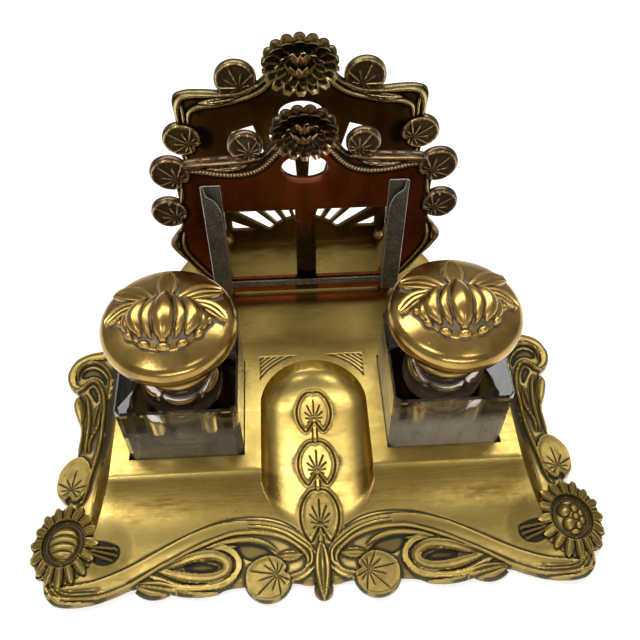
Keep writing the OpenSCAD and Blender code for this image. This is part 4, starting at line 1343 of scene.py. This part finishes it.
def build_glass(centre_x):
    """A bevelled glass cube with a neck and a round-bottomed cavity"""
    glass = Surface()
    half = GLASS[0] / 2
    rings = []
    for z, inset in ((WELL_FLOOR, EDGE), (WELL_FLOOR + EDGE, 0), (GLASS_TOP - EDGE, 0)):
        shape = bevelled_square(half - inset, CHAMFER - inset)
        rings.append(glass.add(level(shape, z)))
    neck = circle(NECK_R + NECK_FILLET, ROUND_SIDES)
    co, tri, (outer, inner) = fill([bevelled_square(half - EDGE, CHAMFER - EDGE), neck], [])
    top = glass.add(level(co, GLASS_TOP), tri)
    for a, b in zip(rings[:-1], rings[1:]):
        glass.bridge(a, b)
    glass.bridge(rings[-1], top[outer])
    glass.cap(rings[0][::-1])
    bore = NECK_R - NECK_WALL
    low = CAVITY_FLOOR + CAVITY_R
    high = GLASS_TOP - 3.7 - math.sqrt(CAVITY_R**2 - bore**2)
    shoulder = math.degrees(math.acos(bore / CAVITY_R))
    mouth = box_mm("right_inkwell")[1][2]
    profile = [(NECK_R + 0.23, GLASS_TOP + 0.23), (NECK_R, GLASS_TOP + NECK_FILLET), (NECK_R, mouth - 0.5),
               (NECK_R - 0.5, mouth), (bore + 0.5, mouth), (bore, mouth - 0.5), (bore, GLASS_TOP - 3.2)]
    profile += [tuple(p) for p in arc(0, high, CAVITY_R, shoulder, 0, 14)]
    profile += [tuple(p) for p in arc(0, low, CAVITY_R, 0, -84, 20)] + [(0, low - CAVITY_R)]
    lathe(glass, profile, top[inner])
    return glass.shift((centre_x, WELL[1], 0))


# Lids

def open_petal(r, root, middle, tip, width, height):
    """A petal that lies open on the crown: raised rim, lengthwise grooves and a turned-up tip"""
    k, away, share = r.along([root, middle, tip], width / 2)
    half = width / 2 * np.sin(math.pi * (0.08 + 0.88 * share**1.4)) ** 0.5 + 1e-3
    u = away / half
    inner = np.abs(u) < 1
    rim = np.exp(-(((np.abs(u) - 0.82) / 0.16) ** 2))
    form = soft_step((1 - np.abs(u)) / 0.24) * (0.8 + 0.13 * rim + 0.045 * np.cos(u * 11))
    r.keep(k[inner], (height * form * (0.5 + 0.6 * share))[inner])


def lobe(r, top, middle, foot, width, height, ridge=0.0):
    """A full rounded lobe of the bud, bowed through its middle, with a ridge down its back"""
    k, away, share = r.along([top, middle, foot], width / 2)
    half = width / 2 * np.sin(math.pi * (0.03 + 0.94 * share)) ** 0.5 + 1e-3
    u = np.clip(away / half, -1, 1)
    form = np.sqrt(1 - u**2) * (1 + ridge * np.exp(-((u / 0.2) ** 2)))
    r.keep(k, height * form * np.sin(math.pi * (0.08 + 0.84 * share)) ** 0.4)


def lily_strokes(r, height):
    """The cast lily, seen from above with its beads to the front"""
    open_petal(r, (0, 4), (0, 12), (0, 21.5), 10.6, height * 0.5)
    for s in (1, -1):
        open_petal(r, (s * 6, 4.5), (s * 15, 10), (s * 24.2, 12), 10.4, height * 0.46)
        open_petal(r, (s * 11, 3), (s * 19.5, 1.4), (s * 26.4, -4.2), 8.6, height * 0.42)
    off = np.hypot(r.x / 17.4, (r.y + 5) / 12.2)
    r.keep(np.arange(len(r.x)), height * 0.46 * np.sqrt(np.maximum(0, 1 - off**2)))
    off = np.hypot(r.x / 18.6, (r.y + 4) / 18.2)
    front = soft_step((1 - off) / 0.06) * soft_step((-2 - r.y) / 4)
    r.keep(np.arange(len(r.x)), height * 0.12 * front)
    for s in (1, -1):
        lobe(r, (s * 11.6, 2.6), (s * 16.2, -6.6), (s * 14.2, -12.6), 7.0, height * 0.62)
        lobe(r, (s * 8.2, 4.0), (s * 12.4, -4.6), (s * 10.0, -13.4), 9.6, height * 0.9, 0.03)
        lobe(r, (s * 3.4, 5.0), (s * 7.4, -5.4), (s * 5.6, -14.4), 7.0, height * 0.92)
    lobe(r, (0, 6.4), (0, -4), (0, -16.4), 12.6, height * 1.14, 0.02)
    for i in range(-3, 4):
        a = math.radians(i * 24)
        centre = np.array([19.6 * math.sin(a) * 1.04, -19.4 * math.cos(a) - 0.2])
        size = 3.1 - 0.26 * abs(i)
        k = r.near(centre - size, centre + size)
        across = (r.x[k] - centre[0]) * math.cos(a) + (r.y[k] - centre[1]) * math.sin(a)
        along = (r.y[k] - centre[1]) * math.cos(a) - (r.x[k] - centre[0]) * math.sin(a)
        ball = 1 - (across / size) ** 2 - (along / (size * 0.74)) ** 2
        r.keep(k, height * 0.5 * np.sqrt(np.maximum(0, ball)))


def build_lid(centre_x, height, fine):
    """Lid and lily as one closed shell"""
    co, tri, (edge,) = fill([circle(LILY_REACH, LID_SIDES)], all_over(fine))
    relief = Relief(co[:, 0], co[:, 1])
    lily_strokes(relief, height)
    far = np.hypot(co[:, 0], co[:, 1])
    angle = far / CROWN_BALL
    out = np.divide(co, far[:, None], out=np.zeros_like(co), where=far[:, None] > 0)
    ball = CROWN_BALL + relief.h
    lid = Surface()
    centre_z = CROWN_Z - CROWN_BALL
    shape = np.column_stack([out * (ball * np.sin(angle))[:, None], centre_z + ball * np.cos(angle)])
    recess = hollows(tri, relief.h, 10)
    stain = soft_step((hollows(tri, relief.h, 26) - 0.25) / 0.6)
    lid.add(shape, tri, recess, stain)

    def shell(t):
        meet = math.degrees(math.asin(RIM_MEET / CROWN_BALL))
        start = 90 - math.degrees(LILY_REACH / CROWN_BALL) - 0.4
        cap = arc(0, centre_z, CROWN_BALL - t, start, 90 - meet, 4)
        upper = arc(LID_R - RIM_UPPER, RIM_Z, RIM_UPPER - t, 90 - meet, 0, 12)[1:]
        last = math.degrees(math.acos((PAN_R - LID_R + RIM_LOWER) / (RIM_LOWER - t)))
        lower = arc(LID_R - RIM_LOWER, RIM_Z, RIM_LOWER - t, 0, -last, 16)[1:]
        return [tuple(p) for p in np.vstack([cap, upper, lower])]

    inside_cap = [(CROWN_BALL - LID_T) * math.sin(a) for a in np.linspace(LILY_REACH / CROWN_BALL, 0, 8)]
    profile = shell(0) + shell(LID_T)[::-1]
    profile += [(r, centre_z + math.sqrt((CROWN_BALL - LID_T) ** 2 - r * r)) for r in inside_cap[1:-1]]
    lathe(lid, profile + [(0, CROWN_Z - LID_T)], edge)
    return lid.shift((centre_x, WELL[1], 0))


# Finishes of the rack, glass and sheet metal

def lid_finish(colours):
    """Warm polished brass with painted highlight on the crests; patina and pale polish residue in the creases
    """
    f = Finish("lid brass", Metallic=1.0)
    cloud = f.spread(f.noise(14, 4), 0.3, 0.7)
    mottle = f.noise(2.2, 5)
    recess = f.attribute("recess")
    stain = (f.attribute("mark") * (0.55 + mottle * 0.9)).clamp()
    hollow = f.spread(recess, 0.02, 0.3)
    crest = f.spread(-recess, 0.02, 0.3)
    tone = f.mix((cloud * 0.7 + mottle * 0.25).clamp(), colours.lid_brass, colours.lid_shade)
    # Painted highlight: crests of the lily lighter
    tone = f.mix(crest * 0.3, tone, scaled(colours.lid_brass, 1.4))
    tone = f.mix((hollow * 0.85).clamp(), tone, colours.patina)
    pale = (stain * hollow * (0.4 + mottle) - 0.3).clamp()
    tone = f.mix(pale, tone, colours.residue)
    rough = (0.13 + mottle * 0.12 + cloud * 0.05 + hollow * 0.25 + pale * 0.4 + crest * 0.08).clamp()
    normal = f.bump(f.noise(0.8, 3), 0.008)
    normal = f.bump(f.noise(9, 3), 0.12, normal)
    return f.out(Base_Color=tone, Roughness=rough, Metallic=1 - pale * 0.85, Normal=normal)


def plate_finish(name, light, dark, relief_light, relief_dark, shine, coat, base_reflection_and_dark_bar):
    """Lacquered or patinated plate with darker cast relief and crests lighter as rub and painted highlight;
    the front plate's lower part is lightened as a painted reflection of the base, and its bar between the
    windows is darker towards its foot"""
    f = Finish(name, Metallic=1.0, Coat_Weight=coat, Coat_Roughness=0.12)
    cloud = f.spread(f.noise(30, 4, (1, 1, 0.35)), 0.34, 0.66)
    streak = f.noise(5, 4, (1, 1, 0.16))
    mottle = f.noise(1.8, 5)
    recess = f.attribute("recess")
    raised = f.attribute("mark")
    hollow = (f.spread(recess, -0.02, 0.16) + f.spread(recess, 0.0, 0.05) * 0.4 * mottle).clamp()
    crest = f.spread(-recess, 0.03, 0.26)
    flat = f.mix((cloud * 0.8 + streak * 0.4 - 0.1).clamp(), light, dark)
    # Painted reflection: the lower part of the front plate is lightened as if it mirrored the brass base
    flat = f.mix(f.spread(f.axis("Z"), 78, 34) * base_reflection_and_dark_bar * 0.5, flat, scaled(light, 1.7))
    # The bar between the windows is darker towards its foot
    bar = f.spread(abs(f.axis("X")), 7.5, 5.5) * f.spread(f.axis("Z"), 98, 62) * base_reflection_and_dark_bar
    flat = f.mix((bar * (0.65 + mottle * 0.6)).clamp(), flat, relief_dark)
    body = f.mix(mottle, relief_dark, scaled(relief_light, 0.3))
    tone = f.mix(raised, flat, body)
    # Crests lighter: partly rubbed relief, partly painted highlight
    tone = f.mix((crest * (0.55 + mottle * 0.6)).clamp(), tone, relief_light)
    tone = f.mix((hollow * (1 - raised * 0.3)).clamp(), tone, relief_dark)
    rough = (shine + mottle * 0.2 + raised * 0.06 + hollow * 0.25 - crest * 0.1).clamp()
    normal = f.bump(mottle, 0.05)
    normal = f.bump(f.noise(0.6, 3), 0.02, normal)
    return f.out(Base_Color=tone, Roughness=rough, Normal=normal)


def grey_finish(light, dark):
    """Oxidised sheet metal: speckled, with rubbed edges"""
    f = Finish("oxidised sheet", Metallic=0.85)
    speck = f.spread(f.noise(0.9, 4, rough=0.7), 0.5, 0.64)
    cloud = f.noise(8, 4)
    rub = f.spread(-f.attribute("recess"), 0.05, 0.25)
    tone = f.mix((cloud * 0.7 + 0.1).clamp(), dark, light)
    tone = f.mix(speck * 0.6, tone, scaled(light, 1.7))
    tone = f.mix((rub * (0.4 + speck)).clamp(), tone, scaled(light, 3))
    rough = (0.3 + cloud * 0.2 + speck * 0.1 - rub * 0.1).clamp()
    return f.out(Base_Color=tone, Roughness=rough, Normal=f.bump(f.noise(0.9, 4, rough=0.7), 0.05))


def rubbed_copy(node, name, width=0.35):
    """A CAD node with narrow bevels along its sharp edges, marked as rubbed"""
    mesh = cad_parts[node].data.copy()
    mesh.name = name
    mesh.materials.clear()
    work = bmesh.new()
    work.from_mesh(mesh)
    bmesh.ops.remove_doubles(work, verts=work.verts, dist=2e-6)
    bmesh.ops.dissolve_limit(work, angle_limit=math.radians(1), verts=work.verts, edges=work.edges)
    rubbed = work.faces.layers.float.new("recess")
    sharp = [e for e in work.edges if len(e.link_faces) == 2 and e.calc_face_angle(0) > math.radians(35)]
    bevelled = bmesh.ops.bevel(work, geom=sharp, offset=width * MM, segments=1, affect="EDGES",
                               clamp_overlap=True)
    for face in bevelled["faces"]:
        face[rubbed] = -0.3
    work.to_mesh(mesh)
    work.free()
    mesh.shade_flat()
    return new_object(name, mesh)


def glass_finish(tint, ground, painted_light_film):
    """Cut glass: painted dark reflection above, a pale film of painted light below, ripples left by polishing
    and a ground underside made pale to paint light
    """
    f = Finish("cut glass", Roughness=0.01, IOR=1.5, Transmission_Weight=1.0)
    # Painted dark reflection: the glass is tinted darker towards its top
    painted_dark_top = f.spread(f.axis("Z"), 46, 60)
    f.out(Base_Color=f.mix(painted_dark_top, tint, [c * share for c, share in zip(tint, (0.42, 0.32, 0.26))]),
          Normal=f.bump(f.noise(16, 2), 0.015))
    # Ground underside, partly real grinding and partly painted light: pale and mirror-like so that the glass
    # front looks lit
    frosted = f.mix(f.noise(7, 4), ground, scaled(ground, 0.7))
    under = f.node("ShaderNodeBsdfPrincipled", 0, {}, {"Metallic": 1.0, "Roughness": 0.8,
                                                       "Base Color": frosted})
    # Painted light: a pale film on the lower half, stronger on the right-hand inkwell, stands in for light
    # seen through the glass
    film = f.node("ShaderNodeBsdfPrincipled", 0, {}, {"Roughness": 0.6, "Base Color": (*painted_light_film, 1)})
    streaks = f.noise(5, 4, (1, 1, 0.2)) + 0.4
    low = f.spread(f.axis("Z"), 50, 38) * ((f.axis("X") > 0) * 0.3 + 0.2)
    shown = Wire(f.tree, f.shader.outputs[0])
    for share, layer in ((low * streaks, film), (f.axis("Z") < WELL_FLOOR + 0.2, under)):
        shown = f.node("ShaderNodeMixShader", 0, {}, {0: share, 1: shown, 2: layer})
    plug(f.tree, shown, f.tree.nodes["Material Output"].inputs["Surface"])
    return f.material


# Sizes and colours that a user may change

def shade(name, code, text):
    return FloatVectorProperty(name=name, description=text, size=3, subtype="COLOR", min=0, max=1,
                               default=colour(code))


class INKSTAND_PG_sizes(bpy.types.PropertyGroup):
    """Sizes of the relief and of the mesh that carries it, in millimetres"""
    relief: FloatProperty(name="Relief", description="Height of the base's cast ornament", default=1.25,
                          min=0.4, max=2.5)
    plate_relief: FloatProperty(name="Rack relief", description="Height of the rack plates' cast ornament",
                                default=1.15, min=0.4, max=2.0)
    lily: FloatProperty(name="Lily", description="Height of the water lily on a lid", default=6.0, min=2,
                        max=8)
    fine: FloatProperty(name="Fine pitch", description="Mesh pitch where there is ornament", default=0.54,
                        min=0.4, max=1.5)
    plain: FloatProperty(name="Plain pitch", description="Mesh pitch on plain metal", default=2.6, min=1,
                         max=5)
    petals: IntProperty(name="Petals", description="Petals in one ring of a flower on the rack", default=16,
                        min=8, max=24)


class INKSTAND_PG_colours(bpy.types.PropertyGroup):
    """Colours of the metals, the lacquer and the glass"""
    cast_brass: shade("Cast brass", "#c6ad62", "Clean brass of the base")
    cast_shade: shade("Tarnished brass", "#8c753a", "Clouded brass of the base")
    patina: shade("Patina", "#403e35", "Dark residue in the hollows")
    lid_brass: shade("Lid brass", "#c2a05c", "Warm brass of the lids")
    lid_shade: shade("Lid shade", "#7e6230", "Tarnished brass of the lids")
    residue: shade("Polish residue", "#948a7c", "Pale dried polish round the lilies")
    rack_brass: shade("Rack brass", "#6a5524", "Olive brass of the rear plate")
    rack_shade: shade("Rack shade", "#43340e", "Dark olive of the rear plate")
    lacquer: shade("Lacquer", "#853b10", "Copper-brown lacquer of the front plate")
    lacquer_shade: shade("Lacquer shade", "#421704", "Darker lacquer of the front plate")
    # Crest colours of the plates, standing for rubbed metal and painted highlight together
    bronze_and_highlight: shade("Bronze", "#ab8a62", "Rubbed relief of the front plate")
    gilt_and_highlight: shade("Gilt", "#cdb67c", "Rubbed relief of the rear plate")
    soot: shade("Soot", "#16100a", "Hollows of the rack's relief")
    sheet: shade("Sheet metal", "#85827a", "Light tone of the card holder")
    sheet_shade: shade("Sheet shade", "#302f2c", "Dark tone of the card holder")
    glass: shade("Glass", "#ece9ee", "Tint of the cut glass")
    # Pale film that paints light on the lower half of the inkwells
    painted_light_film: shade("Painted light film", "#b8ad9a", "Thin film on the lower half of the inkwells")
    # The ground underside is pale so that it also paints light seen through the glass
    ground: shade("Ground glass", "#f2e9dc", "Underside of the inkwells")


class INKSTAND_PG_stage(bpy.types.PropertyGroup):
    """Camera, floor and lights"""
    camera: FloatVectorProperty(name="Camera", description="Place of the camera", subtype="TRANSLATION",
                                unit="LENGTH", default=(-0.0097, -0.2325, 0.3649))
    lens: FloatProperty(name="Lens", description="Focal length on a 36 mm sensor", default=43.26, min=20,
                        max=120)
    key: FloatProperty(name="Key light", description="Power of the overhead softbox", subtype="POWER",
                       default=8.8, min=0)
    world: FloatProperty(name="World", description="Strength of the plain surroundings", default=0.34,
                         min=0, max=2)
    floor: shade("Floor", "#f4f4f2", "Pale floor")


def settings():
    scene = bpy.context.scene
    return scene.inkstand_sizes, scene.inkstand_colours, scene.inkstand_stage


def base_finish(colours):
    name = "cast brass"
    if name in bpy.data.materials:
        return bpy.data.materials[name]
    return brass_finish(name, colours.cast_brass, colours.cast_shade, colours.patina, shine=0.2,
                        brushed=(0.16, 1, 1), tarnish=1.0, crest=0.35, slope_shade_and_border=1.0)


def plate_metals(colours):
    """Finishes of the front and the rear plate"""
    if "copper lacquer" not in bpy.data.materials:
        plate_finish("copper lacquer", colours.lacquer, colours.lacquer_shade, colours.bronze_and_highlight, colours.soot,
                     shine=0.2, coat=0.3, base_reflection_and_dark_bar=1.0)
        plate_finish("olive brass", colours.rack_brass, colours.rack_shade, colours.gilt_and_highlight, colours.soot,
                     shine=0.22, coat=0.15, base_reflection_and_dark_bar=0.0)
    return bpy.data.materials["copper lacquer"], bpy.data.materials["olive brass"]


class INKSTAND_OT_base(bpy.types.Operator):
    """Cast base with its relief, and the lugs of the rack"""
    bl_idname = "inkstand.base"
    bl_label = "Cast Base"

    def execute(self, context):
        sizes, colours, _ = settings()
        metal = base_finish(colours)
        base = build_base(sizes.relief, sizes.fine, sizes.plain).object("cast_base", 38)
        finish_piece(base, "stand", "base_brass", metal, "base")
        finish_piece(build_lugs().object("rack_lugs", 40), "stand", "base_brass", metal)
        return {"FINISHED"}


class INKSTAND_OT_plates(bpy.types.Operator):
    """Front and rear plates of the letter rack"""
    bl_idname = "inkstand.plates"
    bl_label = "Rack Plates"

    def execute(self, context):
        sizes, colours, _ = settings()
        copper, olive = plate_metals(colours)
        measures = sizes.plate_relief, sizes.fine, sizes.plain
        front = build_plate("rack_front_plate", front_plate_strokes, front_plate_zone, *measures)
        finish_piece(front.object("front_plate", 40), "stand", "copper_lacquer", copper, "rack_front_plate")
        rear = build_plate("rack_rear_plate", rear_plate_strokes, rear_plate_zone, *measures)
        finish_piece(rear.object("rear_plate", 40), "stand", "rack_brass", olive, "rack_rear_plate")
        return {"FINISHED"}


class INKSTAND_OT_flowers(bpy.types.Operator):
    """Flowers on the front corners and on both rack plates"""
    bl_idname = "inkstand.flowers"
    bl_label = "Flowers"

    def execute(self, context):
        sizes, colours, _ = settings()
        tree, names = petal_ring_tree()
        metal = base_finish(colours)
        for side, s in SIDES:
            flower = corner_flower(s, sizes.fine * FLOWER_PITCH)
            flower.shift((s * FLOWER_AT[0], FLOWER_AT[1], BORDER_Z - 0.4))
            finish_piece(flower.object(side + "_corner_flower", 60), "stand", "base_brass", metal)
        for flower_on, metal in zip(RACK_FLOWERS, plate_metals(colours)):
            name, plate, slot_name, radius, squash, high = flower_on
            place = (0, box_mm(plate)[1][1] - PLATE + FLOWER_SINK, TOP_Z + high)
            flower = rack_flower(tree, names, metal, radius, sizes.petals, squash, place)
            finish_piece(flower.object(name, 60), "stand", slot_name, metal)
        return {"FINISHED"}


class INKSTAND_OT_inkwells(bpy.types.Operator):
    """Cut glass inkwells"""
    bl_idname = "inkstand.inkwells"
    bl_label = "Inkwells"

    def execute(self, context):
        colours = settings()[1]
        material = glass_finish(colours.glass, colours.ground, colours.painted_light_film)
        for side, s in SIDES:
            glass = build_glass(s * WELL[0]).object(side + "_glass", 25)
            finish_piece(glass, side + "_inkwell_unit", "glass", material, side + "_inkwell")
        return {"FINISHED"}


class INKSTAND_OT_lids(bpy.types.Operator):
    """Domed lids with their water lilies"""
    bl_idname = "inkstand.lids"
    bl_label = "Lids"

    def execute(self, context):
        sizes, colours, _ = settings()
        material = lid_finish(colours)
        for side, s in SIDES:
            lid = build_lid(s * WELL[0], sizes.lily, sizes.fine * LID_PITCH).object(side + "_lily_lid", 50)
            finish_piece(lid, side + "_lid_unit", "lid_brass", material, side + "_lid", side + "_lily")
        return {"FINISHED"}


class INKSTAND_OT_fittings(bpy.types.Operator):
    """Finishes of the collars, pins, pans, bolts, nuts and card holder"""
    bl_idname = "inkstand.fittings"
    bl_label = "Fittings"

    def execute(self, context):
        colours = settings()[1]
        turned = brass_finish("turned brass", colours.lid_brass, colours.cast_shade, colours.patina,
                              shine=0.2, brushed=(1, 1, 0.2), tarnish=0.6, crest=0.4)
        dark = brass_finish("dark brass", colours.rack_brass, colours.rack_shade, colours.soot, shine=0.3,
                            brushed=(1, 1, 1), tarnish=0.8, crest=0.3)
        sheet = grey_finish(colours.sheet, colours.sheet_shade)
        metals = {"collar": turned, "lid_pan": turned, "hinge_pin": dark, "rack_bolts": dark,
                  "rack_nuts": turned}
        for name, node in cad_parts.items():
            for kind, material in metals.items():
                if name.endswith(kind):
                    node.material_slots[0].material = material
        for node in ("left_card_channel", "right_card_channel", "card_rail"):
            finish_piece(rubbed_copy(node, node + "_rubbed"), "stand", "grey_metal", sheet, node)
        return {"FINISHED"}


class INKSTAND_OT_stage(bpy.types.Operator):
    """Camera, floor, softboxes and surroundings"""
    bl_idname = "inkstand.stage"
    bl_label = "Stage"

    def execute(self, context):
        scene, stage = context.scene, settings()[2]
        lens = bpy.data.cameras.new("camera")
        lens.lens, lens.sensor_width, lens.clip_start = stage.lens, 36, 0.01
        camera = new_object("camera", lens)
        camera.matrix_world = Matrix.Translation(stage.camera) @ Matrix(CAMERA_AXES).transposed().to_4x4()
        scene.camera = camera
        make_floor(stage.floor)
        for name, place, target, size, share in SOFTBOXES:
            softbox(name, place, target, size, stage.key * share)
        world = bpy.data.worlds.new("plain surroundings")
        world.use_nodes = True
        sky = world.node_tree.nodes["Background"]
        sky.inputs["Color"].default_value = (1.0, 0.97, 0.92, 1)
        sky.inputs["Strength"].default_value = stage.world
        scene.world = world
        scene.view_settings.view_transform = "Standard"
        return {"FINISHED"}


def make_floor(shade_of_floor):
    """A pale round floor under the stand"""
    work = bmesh.new()
    bmesh.ops.create_circle(work, cap_ends=True, segments=64, radius=3.0)
    mesh = bpy.data.meshes.new("floor")
    work.to_mesh(mesh)
    work.free()
    floor = new_object("floor", mesh)
    f = Finish("pale floor", Roughness=0.8)
    kinds = "Camera", "Glossy", "Transmission"
    rays = [f.node("ShaderNodeLightPath", f"Is {kind} Ray", {}, {}) for kind in kinds]
    seen = rays[0].higher(rays[1]).higher(rays[2])
    f.shader.inputs["Emission Strength"].default_value = FLOOR_GLOW
    f.out(Base_Color=f.mix(f.noise(60, 3), shade_of_floor, scaled(shade_of_floor, 0.985)),
          Emission_Color=f.mix(seen, (0, 0, 0), (1, 1, 1)))
    mesh.materials.append(f.material)


def softbox(name, place, target, size, power):
    """A rectangular area light that faces its target"""
    light = bpy.data.lights.new(name, "AREA")
    light.shape, light.size, light.size_y, light.energy = "RECTANGLE", size[0], size[1], power
    aim = (Vector(target) - Vector(place)).to_track_quat("-Z", "Y").to_matrix().to_4x4()
    new_object(name, light).matrix_world = Matrix.Translation(place) @ aim


class INKSTAND_PT_panel(bpy.types.Panel):
    """Lists the inkstand's sizes, colours and building steps"""
    bl_idname = "INKSTAND_PT_panel"
    bl_label = "Desk Inkstand"
    bl_space_type = "VIEW_3D"
    bl_region_type = "UI"
    bl_category = "Inkstand"

    def draw(self, context):
        for group in settings():
            box = self.layout.box()
            for name in type(group).__annotations__:
                box.prop(group, name)
        for step in STEPS:
            self.layout.operator(step.bl_idname)


STEPS = (INKSTAND_OT_base, INKSTAND_OT_plates, INKSTAND_OT_flowers, INKSTAND_OT_inkwells, INKSTAND_OT_lids,
         INKSTAND_OT_fittings, INKSTAND_OT_stage)
GROUPS = (("inkstand_sizes", INKSTAND_PG_sizes), ("inkstand_colours", INKSTAND_PG_colours),
          ("inkstand_stage", INKSTAND_PG_stage))


def register():
    for name, group in GROUPS:
        bpy.utils.register_class(group)
        setattr(bpy.types.Scene, name, PointerProperty(type=group))
    for item in (*STEPS, INKSTAND_PT_panel):
        bpy.utils.register_class(item)


def unregister():
    for item in (INKSTAND_PT_panel, *reversed(STEPS)):
        bpy.utils.unregister_class(item)
    for name, group in reversed(GROUPS):
        delattr(bpy.types.Scene, name)
        bpy.utils.unregister_class(group)


def main():
    register()
    bpy.ops.inkstand.base()
    bpy.ops.inkstand.plates()
    bpy.ops.inkstand.flowers()
    bpy.ops.inkstand.inkwells()
    bpy.ops.inkstand.lids()
    bpy.ops.inkstand.fittings()
    bpy.ops.inkstand.stage()


if __name__ == "__main__":
    main()
